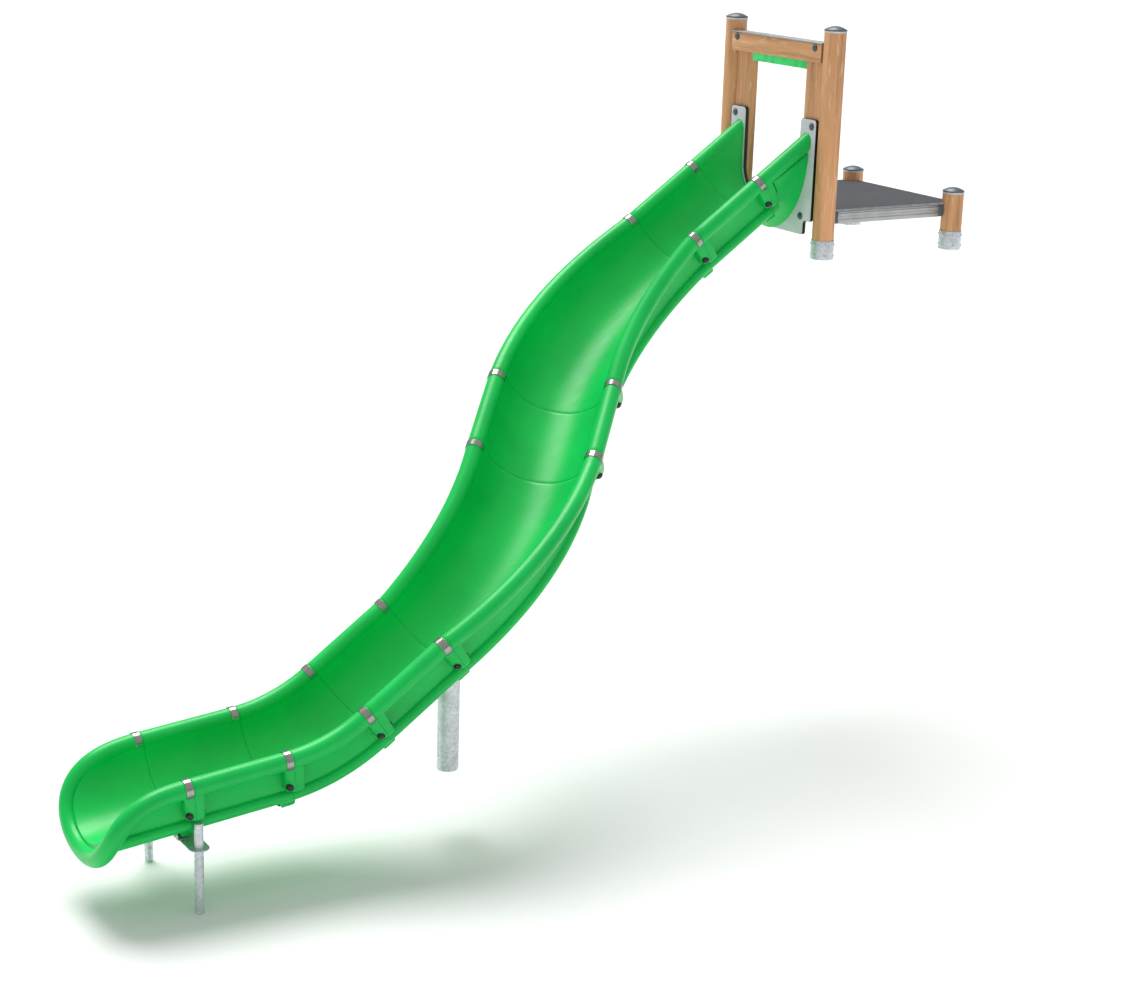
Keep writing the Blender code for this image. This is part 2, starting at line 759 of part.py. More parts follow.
def build_deck():
    clear = POST_RADIUS + DECK_POST_GAP
    low, high = -POST_SPACING, 0.0
    bottom = DECK_TOP - DECK_THICKNESS - DECK_FRAME_HEIGHT
    top = DECK_TOP - DECK_THICKNESS - GAP
    near_span = (clear, POST_SPACING - clear)
    front_low = UPRIGHT_FRONT + UPRIGHT_THICKNESS + GAP
    cap_ends = (near_span[0] + DECK_CAP_LENGTH + GAP, near_span[1] - DECK_CAP_LENGTH - GAP)
    rails = {
        "deck_near_rail": ((high - DECK_FRAME_WIDTH, cap_ends[0]), (high, cap_ends[1])),
        "deck_far_rail": ((low, cap_ends[0]), (low + DECK_FRAME_WIDTH, cap_ends[1])),
        "deck_front_rail": ((low + clear, front_low), (high - clear, front_low + DECK_FRONT_WIDTH)),
        "deck_back_rail": ((low + clear, POST_SPACING - DECK_FRAME_WIDTH), (high - clear, POST_SPACING)),
    }
    for name, ((x0, y0), (x1, y1)) in rails.items():
        box(name, (x0, y0, bottom), (x1, y1, top), ALUMINIUM)
    for side, x0 in (("near", high - DECK_FRAME_WIDTH), ("far", low)):
        for word, y0 in (("front", near_span[0]), ("back", near_span[1] - DECK_CAP_LENGTH)):
            box(
                f"deck_{side}_{word}_end_cap",
                (x0, y0, bottom),
                (x0 + DECK_FRAME_WIDTH, y0 + DECK_CAP_LENGTH, top),
                CAP_PLASTIC,
                DECK_EDGE,
            )
    panel = box(
        "deck_panel",
        (low - DECK_EDGE, front_low, DECK_TOP - DECK_THICKNESS),
        (high + DECK_EDGE, POST_SPACING + DECK_EDGE, DECK_TOP),
        DECK_PANEL,
    )
    notch = POST_RADIUS + DECK_NOTCH_GAP
    for word, (x, y, _) in post_places().items():
        cutter = cylinder(f"{word}_deck_notch", notch, DECK_TOP - CUT_MARGIN, DECK_TOP + CUT_MARGIN, (x, y))
        boolean(panel, cutter, "DIFFERENCE")


# Supports


def build_run_out_supports():
    """Two legs under the last joint, held apart by a plate that bolts to the chute's lugs."""
    joints = joint_distances()
    last = chute_frame(joints[-1] - LEG_BEHIND_JOINT)
    run_out_x = last.translation.x
    leg_y = last.translation.y
    leg_top = last.translation.z - LEG_TOP_BELOW_RAIL
    plate_z = last.translation.z - CROSS_PLATE_BELOW_RAIL
    holes = []
    for side, word in ((1, "near"), (-1, "far")):
        x = run_out_x + side * LEG_LATERAL
        place = (x, leg_y)
        cylinder(f"{word}_run_out_leg", LEG_RADIUS, LOWER_GROUND, leg_top, place, GALVANISED, LEG_SIDES)
        hole = arc((side * LEG_LATERAL, 0), LEG_RADIUS + LEG_HOLE_CLEARANCE, 0, 360, LEG_SIDES)
        holes.append(hole[:-1])
    near_end = arc((LEG_LATERAL, 0), CROSS_PLATE_HALF_WIDTH, 90, -90, 8)
    outline = near_end + [(-x, y) for x, y in reversed(near_end)]
    plate = outline_curve("run_out_cross_plate", [outline, *holes], CROSS_PLATE_THICKNESS, GALVANISED)
    plate.location = (run_out_x, leg_y, plate_z)
    foot = plate_z + CROSS_PLATE_THICKNESS / 2 + GAP
    back, front, top = leg_y - BRACKET_BACK, leg_y - BRACKET_REACH, foot + BRACKET_HEIGHT
    inner = (front + CROSS_PLATE_THICKNESS, foot + CROSS_PLATE_THICKNESS)
    angle = [(back, foot), (back, inner[1]), inner, (inner[0], top), (front, top), (front, foot)]
    for side, word in ((1, "near"), (-1, "far")):
        bracket = outline_curve(f"{word}_lug_bracket", [angle], BRACKET_WIDTH, GALVANISED)
        bracket.location.x = run_out_x + side * BRACKET_LATERAL
        bracket.rotation_euler = (math.radians(90), 0, math.radians(90))


def build_mid_support():
    """A post under the right-hand curve, cut to the slope and capped by a saddle plate."""
    joint = joint_distances()[4]
    frame = chute_frame(joint - SUPPORT_BEHIND_JOINT / math.cos(SLOPE))
    place = frame.translation
    top = place.z - SADDLE_TOP
    centre = (place.x, place.y)
    post = cylinder("mid_support_post", SUPPORT_RADIUS, SUPPORT_GROUND, top, centre, GALVANISED)
    reach = CUT_REACH
    under_saddle = -SADDLE_TOP - SADDLE_THICKNESS - GAP
    cutter = box("mid_support_cut", (-reach, -reach, under_saddle), (reach, reach, reach))
    cutter.matrix_world = frame @ cutter.matrix_basis
    boolean(post, cutter, "DIFFERENCE")
    width, length = SADDLE_HALF_SIZE
    saddle = box(
        "mid_support_saddle",
        (-width, -length, -SADDLE_TOP - SADDLE_THICKNESS),
        (width, length, -SADDLE_TOP),
        GALVANISED,
        PLATE_EDGE,
    )
    saddle.matrix_world = frame @ saddle.matrix_basis


def main():
    global PARTS, HELPERS
    clear_scene()
    PARTS = new_collection("wave_slide")
    HELPERS = new_collection("guides_and_cutters")
    build_chute()
    build_clips()
    build_posts()
    build_top_bar()
    build_start_panel()
    build_deck()
    build_run_out_supports()
    build_mid_support()


main()
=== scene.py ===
"""Embankment wave slide: the finished surfaces, fasteners and materials on the fixed frame.

+Z is up, +X runs from the far post to the near post and +Y runs uphill. Lengths are metres unless a
property says otherwise.
"""

import math

import bmesh
import bpy
import numpy as np
from mathutils import Matrix, Vector


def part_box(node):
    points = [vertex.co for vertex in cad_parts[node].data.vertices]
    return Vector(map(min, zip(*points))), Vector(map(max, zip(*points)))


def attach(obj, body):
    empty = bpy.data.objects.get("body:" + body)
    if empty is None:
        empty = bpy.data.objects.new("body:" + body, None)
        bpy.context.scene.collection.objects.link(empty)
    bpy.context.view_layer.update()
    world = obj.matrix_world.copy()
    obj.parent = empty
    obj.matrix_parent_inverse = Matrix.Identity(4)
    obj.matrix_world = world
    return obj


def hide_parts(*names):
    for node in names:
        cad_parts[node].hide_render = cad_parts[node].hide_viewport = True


bl_info = {
    "name": "Embankment wave slide",
    "version": (1, 0, 0),
    "blender": (4, 5, 0),
    "location": "View3D > Sidebar > Wave slide",
    "description": "Builds a winding moulded slide with its timber start frame, deck and supports",
    "category": "Add Mesh",
}

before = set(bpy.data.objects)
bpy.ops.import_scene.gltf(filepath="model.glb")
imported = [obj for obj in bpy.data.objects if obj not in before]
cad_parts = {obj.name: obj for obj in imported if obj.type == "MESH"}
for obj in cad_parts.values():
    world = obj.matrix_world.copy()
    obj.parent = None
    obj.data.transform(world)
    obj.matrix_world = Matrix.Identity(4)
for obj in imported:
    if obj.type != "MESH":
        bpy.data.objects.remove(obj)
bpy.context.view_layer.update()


def middle_of(node):
    low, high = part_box(node)
    return (low + high) / 2


# Start frame, read from the frame's own nodes
NEAR_POST = middle_of("near_tall_post")
FAR_POST = middle_of("far_tall_post")
CHUTE_X = (NEAR_POST.x + FAR_POST.x) / 2
PANEL_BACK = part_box("start_panel")[1].y
PANEL_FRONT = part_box("start_panel")[0].y
PLATE_FACE = PANEL_FRONT - 0.0003
LOWER_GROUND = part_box("near_run_out_leg")[0].z

# Chute line, measured at the centre of the side rails
RAIL_HALF_SPACING = 0.325
RAIL_START_HEIGHT = 0.6418
SLOPE = math.radians(35.08)
RUNOUT_SLOPE = math.radians(5.06)
STRAIGHT = 0.505
CURVE_RADIUS = 1.288
CURVE_ANGLE = math.radians(45)
DIP_RADIUS = 0.874
RUNOUT_STRAIGHT = 0.511
START_LENGTH = 0.3916
CLIP_OFFSET = 0.024
BELL_START = 0.060
EXIT_REACH = 0.387
EXIT_DROP = 0.370
SEAM_GAP = 0.0004

# Chute cross-section
RAIL_RADIUS = 0.0465
TROUGH_RADIUS = 0.280
TROUGH_RISE = 0.005
BEAD_CENTRE = (0.270, -0.206)
BEAD_RADIUS = 0.032
PANEL_FLOOR = 0.268
MOUTH_FLOOR = 0.272
# Each lug: inner lateral at foot and top, outer lateral, heights, and half-lengths at top and foot
SIDE_LUG = ((0.262, 0.284), 0.354, (-0.165, -0.034), (0.050, 0.040))
FOOT_LUG = ((0.153, 0.153), 0.223, (-0.296, -0.238), (0.045, 0.034))
# Size at the foot of the slanting facet that carries the bolt: across and along the chute
BOLT_FACET = (0.032, 0.036)
BOLT_SHARE = 0.74
# How far a lug draws in at each height above its foot
LUG_ROUNDING = ((0, 0.016), (0.003, 0.009), (0.008, 0.003), (0.016, 0))
# Places of the fasteners: laterals, and heights over the rail line or over the ground
LUG_NUT_LATERAL = 0.318
FOOT_BOLT = (0.188, -0.276)
BEAM_BOLT = (0.372, 0.023)
PANEL_BOLTS = ((0.370, 0.734), (0.311, 0.222))
FOOT_SCREW_HEIGHTS = (0.22, 0.78)
# Saddle of the mid support: depth under the rail line, thickness, half-sizes, bolts, distance uphill
SADDLE_DEPTH = 0.298
SADDLE_THICKNESS = 0.008
SADDLE_HALF = (0.13, 0.10)
SADDLE_BOLT = (0.105, 0.075)
SADDLE_SETBACK = 0.23
MID_SUPPORT_WALL = 0.004


# Stage
FLOOR_HALF_SIZE = 400.0
KEY_DIRECTION = (-4.0, 0.5, 8.0)


# Settings that a user would change


class ChuteSettings(bpy.types.PropertyGroup):
    colour: bpy.props.StringProperty(
        name="Chute colour",
        description="Colour of the mouldings, as an sRGB hex value",
        default="#00C455",
    )
    seam_bevel: bpy.props.FloatProperty(
        name="Seam edge", description="Rounding of each moulding's ends", default=0.0022, unit="LENGTH"
    )
    ring_spacing: bpy.props.FloatProperty(
        name="Ring spacing",
        description="Distance between rings of the mesh",
        default=0.018,
        unit="LENGTH",
    )
    profile_spacing: bpy.props.FloatProperty(
        name="Profile spacing",
        description="Distance between points of the cross-section",
        default=0.0065,
        unit="LENGTH",
    )


class HardwareSettings(bpy.types.PropertyGroup):
    clip_width: bpy.props.FloatProperty(
        name="Clip width", description="Width of the bands over the rails", default=0.035, unit="LENGTH"
    )
    clip_thickness: bpy.props.FloatProperty(
        name="Clip thickness", description="Sheet thickness of the bands", default=0.0025, unit="LENGTH"
    )
    lug_bolt_radius: bpy.props.FloatProperty(
        name="Lug bolt cap",
        description="Radius of the caps on the joint lugs",
        default=0.0185,
        unit="LENGTH",
    )
    coach_bolt_radius: bpy.props.FloatProperty(
        name="Coach bolt", description="Radius of the domed bolts in timber and panel", default=0.0190,
        unit="LENGTH",
    )
    foot_screw_radius: bpy.props.FloatProperty(
        name="Foot screw", description="Radius of the screw heads in the post feet", default=0.0065,
        unit="LENGTH",
    )
    foot_screw_count: bpy.props.IntProperty(
        name="Foot screws", description="Screws in each row round a post foot", default=6, min=3, max=12
    )


class TimberSettings(bpy.types.PropertyGroup):
    colour: bpy.props.StringProperty(
        name="Timber colour", description="Colour of the oiled timber, as an sRGB hex value",
        default="#D29A6A",
    )
    edge_radius: bpy.props.FloatProperty(
        name="Edge radius", description="Rounding of the planed timbers", default=0.005, unit="LENGTH"
    )


class StageSettings(bpy.types.PropertyGroup):
    camera_place: bpy.props.FloatVectorProperty(
        name="Camera", description="Place of the camera", default=(10.158, -7.942, 2.233), unit="LENGTH"
    )
    camera_pan: bpy.props.FloatProperty(
        name="Pan", description="Heading of the camera, left of +Y", default=math.radians(58.263),
        subtype="ANGLE",
    )
    camera_tilt: bpy.props.FloatProperty(
        name="Tilt", description="How far the camera looks down", default=math.radians(16.231),
        subtype="ANGLE",
    )
    camera_roll: bpy.props.FloatProperty(
        name="Roll", description="Turn of the camera about its own line of sight",
        default=math.radians(1.864), subtype="ANGLE",
    )
    lens: bpy.props.FloatProperty(
        name="Lens",
        description="Focal length on a 36 mm sensor, in millimetres",
        default=72.49,
        unit="CAMERA",
    )
    key_strength: bpy.props.FloatProperty(
        name="Key light", description="Strength of the main soft light, in watts per square metre",
        default=2.9,
    )
    key_softness: bpy.props.FloatProperty(
        name="Softness", description="Apparent width of the main light", default=math.radians(38),
        subtype="ANGLE",
    )
    sky_strength: bpy.props.FloatProperty(
        name="Surroundings", description="Strength of the plain surroundings", default=0.62
    )


SETTINGS = {
    "slide_chute": ChuteSettings,
    "slide_hardware": HardwareSettings,
    "slide_timber": TimberSettings,
    "slide_stage": StageSettings,
}


# Materials


def linear(hex_colour):
    """An sRGB hex colour as linear RGBA."""
    values = [int(hex_colour[i : i + 2], 16) / 255 for i in (1, 3, 5)]
    return (*(v / 12.92 if v <= 0.04045 else ((v + 0.055) / 1.055) ** 2.4 for v in values), 1.0)


def shade(hex_colour, factor):
    """The same colour, lighter or darker by a factor, as hex."""
    values = [int(hex_colour[i : i + 2], 16) for i in (1, 3, 5)]
    return "#" + "".join(f"{min(255, round(v * factor)):02X}" for v in values)


def per_metre(millimetres):
    """Pattern scale for a feature of a real size."""
    return 1000 / millimetres


def stretched(along, length, across):
    """Pattern scales for streaks of a length and a width in millimetres that run along one axis."""
    return tuple(per_metre(length if axis == along else across) for axis in range(3))


def add_node(tree, kind, inputs=None, output=0, stops=(), **settings):
    """Add one node and return one of its outputs; an input is a constant or the socket to link from."""
    node = tree.nodes.new(kind)
    for name, value in settings.items():
        setattr(node, name, value)
    for key, value in (inputs or {}).items():
        if isinstance(value, bpy.types.NodeSocket):
            tree.links.new(value, node.inputs[key])
        else:
            node.inputs[key].default_value = value
    for index, (position, colour) in enumerate(stops):
        elements = node.color_ramp.elements
        element = elements[index] if index < 2 else elements.new(position)
        element.position = position
        element.color = linear(colour)
    return node.outputs[output] if node.outputs else None


def new_material(name):
    """An empty material's node tree and its Object coordinates."""
    material = bpy.data.materials.new(name)
    material.use_nodes = True
    tree = material.node_tree
    tree.nodes.clear()
    return tree, add_node(tree, "ShaderNodeTexCoord", output="Object")


def close_material(tree, inputs):
    surface = add_node(tree, "ShaderNodeBsdfPrincipled", inputs, "BSDF")
    add_node(tree, "ShaderNodeOutputMaterial", {"Surface": surface})


def moulded_polyethylene(name):
    """Rotationally moulded polyethylene: satin, with the orange peel of the mould and rubbed streaks."""
    tree, place = new_material(name)
    colour = bpy.context.scene.slide_chute.colour
    patches = add_node(
        tree, "ShaderNodeTexNoise", {"Vector": place, "Scale": 2.2, "Detail": 4.0, "Roughness": 0.55}
    )
    tint = add_node(
        tree,
        "ShaderNodeValToRGB",
        {"Fac": patches},
        stops=[(0.30, shade(colour, 0.93)), (0.55, colour), (0.80, shade(colour, 1.05))],
    )
    streaks = add_node(
        tree, "ShaderNodeMapping", {"Vector": place, "Scale": stretched(0, 11, 110)}
    )
    rubbed = add_node(tree, "ShaderNodeTexNoise", {"Vector": streaks, "Scale": 1.0, "Detail": 2.0})
    roughness = add_node(
        tree,
        "ShaderNodeMapRange",
        {"Value": rubbed, "From Min": 0.30, "From Max": 0.75, "To Min": 0.30, "To Max": 0.40},
    )
    ripple = add_node(
        tree, "ShaderNodeTexNoise", {"Vector": place, "Scale": per_metre(71), "Detail": 2.0}
    )
    peel = add_node(
        tree, "ShaderNodeTexNoise", {"Vector": place, "Scale": per_metre(4.2), "Detail": 2.0}
    )
    waves = add_node(
        tree, "ShaderNodeBump", {"Height": ripple, "Distance": 0.0012, "Strength": 0.35}
    )
    normal = add_node(
        tree,
        "ShaderNodeBump",
        {"Height": peel, "Distance": 0.0002, "Strength": 0.30, "Normal": waves},
    )
    close_material(
        tree,
        {
            "Base Color": tint,
            "Roughness": roughness,
            "IOR": 1.50,
            "Specular IOR Level": 0.32,
            "Normal": normal,
        },
    )


def brushed_stainless(name):
    """Pressed stainless strip: bright, with brush lines 1.4 mm apart that run round the band."""
    tree, place = new_material(name)
    brushed = add_node(
        tree, "ShaderNodeMapping", {"Vector": place, "Scale": stretched(1, 1.4, 33)}
    )
    lines = add_node(tree, "ShaderNodeTexNoise", {"Vector": brushed, "Scale": 1.0, "Detail": 3.0})
    clouds = add_node(
        tree, "ShaderNodeTexNoise", {"Vector": place, "Scale": per_metre(29), "Detail": 2.0}
    )
    close_material(
        tree,
        {
            "Base Color": add_node(
                tree,
                "ShaderNodeValToRGB",
                {"Fac": lines},
                stops=[(0.25, "#8D8986"), (0.75, "#B4B0AC")],
            ),
            "Metallic": 1.0,
            "Roughness": add_node(
                tree,
                "ShaderNodeMapRange",
                {"Value": clouds, "From Min": 0.3, "From Max": 0.7, "To Min": 0.16, "To Max": 0.26},
            ),
            "Normal": add_node(
                tree, "ShaderNodeBump", {"Height": lines, "Distance": 0.0002, "Strength": 0.30}
            ),
        },
    )


def oiled_timber(name):
    """Oiled pine: growth lines 38 mm wide, pale flecks of surfacing grain and darker resin streaks."""
    tree, place = new_material(name)
    colour = bpy.context.scene.slide_timber.colour
    along = GRAIN_AXIS[name]
    patterns = []
    for length, across, detail, roughness in PINE_STREAKS:
        streaks = add_node(
            tree, "ShaderNodeMapping", {"Vector": place, "Scale": stretched(along, length, across)}
        )
        inputs = {"Vector": streaks, "Scale": 1.0, "Detail": detail, "Roughness": roughness}
        patterns.append(add_node(tree, "ShaderNodeTexNoise", inputs))
    lines, flecks, resin = patterns
    tone = add_node(
        tree,
        "ShaderNodeValToRGB",
        {"Fac": lines},
        stops=[(0.28, shade(colour, 0.80)), (0.48, colour), (0.70, shade(colour, 1.10))],
    )
    for pattern, low, high, amount, overlay in (
        (flecks, 0.60, 0.70, 0.50, "#E9C9A4"),
        (resin, 0.60, 0.80, 0.30, shade(colour, 0.70)),
    ):
        share = add_node(
            tree,
            "ShaderNodeMapRange",
            {"Value": pattern, "From Min": low, "From Max": high, "To Min": 0.0, "To Max": amount},
        )
        inputs = {MIX_FACTOR: share, MIX_FIRST: tone, MIX_SECOND: linear(overlay)}
        tone = add_node(tree, "ShaderNodeMix", inputs, MIX_COLOUR, data_type="RGBA")
    close_material(
        tree,
        {
            "Base Color": tone,
            "Roughness": add_node(
                tree,
                "ShaderNodeMapRange",
                {"Value": lines, "From Min": 0.3, "From Max": 0.7, "To Min": 0.62, "To Max": 0.48},
            ),
            "IOR": 1.48,
            "Normal": add_node(
                tree, "ShaderNodeBump", {"Height": lines, "Distance": 0.0012, "Strength": 0.45}
            ),
        },
    )


def sawn_end_grain(name):
    """Sawn end grain: darker than the long grain, with close growth rings."""
    tree, place = new_material(name)
    colour = bpy.context.scene.slide_timber.colour
    rings = add_node(
        tree,
        "ShaderNodeTexWave",
        {"Vector": place, "Scale": 30.0, "Distortion": 2.0},
        "Fac",
        wave_type="RINGS",
    )
    tone = add_node(
        tree,
        "ShaderNodeValToRGB",
        {"Fac": rings},
        stops=[(0.2, shade(colour, 0.62)), (0.8, shade(colour, 0.85))],
    )
    close_material(tree, {"Base Color": tone, "Roughness": 0.75})


def hot_dip_galvanised(name):
    """Hot-dip zinc: dull grey with a spangle of crystals about 10 mm across and darker clouds."""
    tree, place = new_material(name)
    crystals = add_node(
        tree, "ShaderNodeTexVoronoi", {"Vector": place, "Scale": per_metre(10.5)}, "Color"
    )
    clouds = add_node(
        tree, "ShaderNodeTexNoise", {"Vector": place, "Scale": per_metre(56), "Detail": 4.0}
    )
    grey = add_node(
        tree,
        "ShaderNodeValToRGB",
        {"Fac": crystals},
        stops=[(0.15, "#C6CBD0"), (0.5, "#D3D8DC"), (0.85, "#E2E6EA")],
    )
    share = add_node(
        tree,
        "ShaderNodeMapRange",
        {"Value": clouds, "From Min": 0.40, "From Max": 0.80, "To Min": 0.0, "To Max": 0.25},
    )
    inputs = {MIX_FACTOR: share, MIX_FIRST: grey, MIX_SECOND: linear("#A9AFB5")}
    close_material(
        tree,
        {
            "Base Color": add_node(tree, "ShaderNodeMix", inputs, MIX_COLOUR, data_type="RGBA"),
            "Metallic": 0.75,
            "Roughness": add_node(
                tree,
                "ShaderNodeMapRange",
                {"Value": clouds, "From Min": 0.3, "From Max": 0.7, "To Min": 0.38, "To Max": 0.55},
            ),
            "Normal": add_node(
                tree, "ShaderNodeBump", {"Height": clouds, "Distance": 0.0006, "Strength": 0.35}
            ),
        },
    )


def moulded_plastic(name):
    """Moulded or pressed plastic: faint clouds in its colour and gloss, and a fine surface grain."""
    tree, place = new_material(name)
    low, high, cloud_size, detail, rough_low, rough_high, grain_size, relief = PLASTICS[name]
    clouds = add_node(
        tree, "ShaderNodeTexNoise", {"Vector": place, "Scale": per_metre(cloud_size), "Detail": detail}
    )
    grain = add_node(
        tree, "ShaderNodeTexNoise", {"Vector": place, "Scale": per_metre(grain_size), "Detail": 2.0}
    )
    close_material(
        tree,
        {
            "Base Color": add_node(
                tree, "ShaderNodeValToRGB", {"Fac": clouds}, stops=[(0.3, low), (0.7, high)]
            ),
            "Roughness": add_node(
                tree,
                "ShaderNodeMapRange",
                {
                    "Value": clouds,
                    "From Min": 0.3,
                    "From Max": 0.7,
                    "To Min": rough_low,
                    "To Max": rough_high,
                },
            ),
            "IOR": 1.5,
            "Normal": add_node(
                tree, "ShaderNodeBump", {"Height": grain, "Distance": relief, "Strength": 0.4}
            ),
        },
    )


def anti_slip_deck(name):
    """Film-faced deck board: charcoal with a pressed 6 mm anti-slip grain and paler trodden dust."""
    tree, place = new_material(name)
    dust = add_node(
        tree,
        "ShaderNodeTexNoise",
        {"Vector": place, "Scale": per_metre(180), "Detail": 6.0, "Roughness": 0.65},
    )
    grain = add_node(
        tree, "ShaderNodeTexVoronoi", {"Vector": place, "Scale": per_metre(5.9)}, "Distance"
    )
    base = add_node(
        tree,
        "ShaderNodeValToRGB",
        {"Fac": dust},
        stops=[(0.35, "#24272C"), (0.60, "#2E3238"), (0.80, "#40464D")],
    )
    share = add_node(
        tree,
        "ShaderNodeMapRange",
        {"Value": grain, "From Min": 0.15, "From Max": 0.55, "To Min": 0.30, "To Max": 0.0},
    )
    inputs = {MIX_FACTOR: share, MIX_FIRST: base, MIX_SECOND: linear("#50565E")}
    close_material(
        tree,
        {
            "Base Color": add_node(tree, "ShaderNodeMix", inputs, MIX_COLOUR, data_type="RGBA"),
            "Roughness": add_node(
                tree,
                "ShaderNodeMapRange",
                {"Value": dust, "From Min": 0.3, "From Max": 0.7, "To Min": 0.60, "To Max": 0.80},
            ),
            "IOR": 1.5,
            "Normal": add_node(
                tree, "ShaderNodeBump", {"Height": grain, "Distance": 0.0012, "Strength": 0.6}
            ),
        },
    )


def anodised_aluminium(name):
    """Extruded aluminium, anodised: pale, with die lines 2 mm apart along the profile."""
    tree, place = new_material(name)
    drawn = add_node(
        tree, "ShaderNodeMapping", {"Vector": place, "Scale": stretched(2, 1.9, 330)}
    )
    lines = add_node(tree, "ShaderNodeTexNoise", {"Vector": drawn, "Scale": 1.0, "Detail": 2.0})
    clouds = add_node(
        tree, "ShaderNodeTexNoise", {"Vector": place, "Scale": per_metre(83), "Detail": 3.0}
    )
    close_material(
        tree,
        {
            "Base Color": add_node(
                tree,
                "ShaderNodeValToRGB",
                {"Fac": clouds},
                stops=[(0.3, "#A3A5A4"), (0.7, "#B5B7B6")],
            ),
            "Metallic": 0.85,
            "Roughness": add_node(
                tree,
                "ShaderNodeMapRange",
                {"Value": clouds, "From Min": 0.3, "From Max": 0.7, "To Min": 0.34, "To Max": 0.44},
            ),
            "Normal": add_node(
                tree, "ShaderNodeBump", {"Height": lines, "Distance": 0.0002, "Strength": 0.35}
            ),
        },
    )


def studio_paper(name):
    """Matt paper sweep: nearly white."""
    tree, place = new_material(name)
    clouds = add_node(tree, "ShaderNodeTexNoise", {"Vector": place, "Scale": 0.6, "Detail": 2.0})
    tone = add_node(
        tree, "ShaderNodeValToRGB", {"Fac": clouds}, stops=[(0.3, "#EDEDEC"), (0.7, "#F1F1F0")]
    )
    close_material(tree, {"Base Color": tone, "Roughness": 0.9})


# Sockets of a Mix node set to colours
MIX_FACTOR, MIX_FIRST, MIX_SECOND, MIX_COLOUR = 0, 6, 7, 2

GREEN = "rotomoulded_green_polyethylene"
STAINLESS = "brushed_stainless_strip"
GALVANISED = "hot_dip_galvanised_steel"
UPRIGHT_TIMBER = "oiled_pine_upright_grain"
LEVEL_TIMBER = "oiled_pine_level_grain"
END_GRAIN = "sawn_end_grain"
ALUMINIUM = "anodised_aluminium_extrusion"
DECK_FACE = "anti_slip_charcoal_laminate"
FLOOR_PAPER = "pale_studio_floor"
# Light grey plastic of the pale band turned under each post cap's dome
CAP_PLASTIC = "moulded_slate_polyamide"
BLACK_CAP = "moulded_black_polyamide"
PALE_BAND_PLASTIC = "pale_cap_band"
GREEN_SHEET = "green_sheet_plastic"
LAMINATE = "compact_laminate_light_grey"
LAMINATE_CORE = "laminate_black_core"
DECK_EDGE = "sealed_board_edge"

# Length and width in mm, detail and roughness of the growth lines, the pale flecks and the resin
PINE_STREAKS = ((770, 38, 5.0, 0.60), (111, 16, 2.0, 0.45), (500, 21, 2.0, 0.5))
GRAIN_AXIS = {UPRIGHT_TIMBER: 2, LEVEL_TIMBER: 0}
# Darker and lighter colour, cloud size in mm and detail, roughness range, grain size in mm, and
# relief in m
PLASTICS = {
    CAP_PLASTIC: ("#3E4C54", "#4C5D67", 45, 3.0, 0.33, 0.44, 3.1, 0.00015),
    BLACK_CAP: ("#141619", "#191B1E", 45, 3.0, 0.17, 0.28, 3.1, 0.00015),
    PALE_BAND_PLASTIC: ("#B1B4B3", "#D9DCDB", 45, 3.0, 0.50, 0.61, 3.1, 0.00015),
    GREEN_SHEET: ("#12C561", "#16F277", 45, 3.0, 0.35, 0.46, 3.1, 0.00015),
    LAMINATE_CORE: ("#14161A", "#191B20", 45, 3.0, 0.45, 0.56, 3.1, 0.00015),
    DECK_EDGE: ("#7B8084", "#979DA2", 45, 3.0, 0.50, 0.61, 3.1, 0.00015),
    LAMINATE: ("#C6CBCE", "#D3D8DA", 143, 5.0, 0.42, 0.52, 3.8, 0.0002),
}
FINISHES = {
    GREEN: moulded_polyethylene,
    STAINLESS: brushed_stainless,
    GALVANISED: hot_dip_galvanised,
    UPRIGHT_TIMBER: oiled_timber,
    LEVEL_TIMBER: oiled_timber,
    END_GRAIN: sawn_end_grain,
    ALUMINIUM: anodised_aluminium,
    DECK_FACE: anti_slip_deck,
    FLOOR_PAPER: studio_paper,
    **dict.fromkeys(PLASTICS, moulded_plastic),
}


def finish(name):
    """The named material, made the first time it is asked for."""
    if name not in bpy.data.materials:
        FINISHES[name](name)
    return bpy.data.materials[name]


# Mesh helpers


def piece(name, mesh, materials, slot, *nodes):
    """Link a finished mesh as a piece of the slide, in place of the nodes it stands for."""
    obj = bpy.data.objects.new(name, mesh)
    bpy.context.scene.collection.objects.link(obj)
    for index, material in enumerate(materials):
        if index < len(mesh.materials):
            mesh.materials[index] = finish(material)
        else:
            mesh.materials.append(finish(material))
    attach(obj, "root")
    if nodes:
        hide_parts(*nodes)
    return obj


def mesh_from(bm, name, sharp=35):
    bmesh.ops.recalc_face_normals(bm, faces=bm.faces)
    mesh = bpy.data.meshes.new(name)
    bm.to_mesh(mesh)
    bm.free()
    mesh.shade_smooth()
    mesh.set_sharp_from_angle(angle=math.radians(sharp))
    return mesh


def loft_rings(rings, sharp=35):
    """A closed solid through rings of points that match one to one."""
    bm = bmesh.new()
    layers = [[bm.verts.new(point) for point in ring] for ring in rings]
    for first, second in zip(layers, layers[1:]):
        count = len(first)
        for index in range(count):
            following = (index + 1) % count
            bm.faces.new((first[index], first[following], second[following], second[index]))
    bm.faces.new(layers[0])
    bm.faces.new(layers[-1])
    return mesh_from(bm, "loft", sharp)


def applied(mesh, *modifiers):
    """The mesh after modifiers, each given as (type, settings)."""
    obj = bpy.data.objects.new("working", mesh)
    bpy.context.scene.collection.objects.link(obj)
    for kind, settings in modifiers:
        modifier = obj.modifiers.new(kind, kind)
        for name, value in settings.items():
            setattr(modifier, name, value)
    graph = bpy.context.evaluated_depsgraph_get()
    made = bpy.data.meshes.new_from_object(obj.evaluated_get(graph))
    bpy.data.objects.remove(obj, do_unlink=True)
    return made


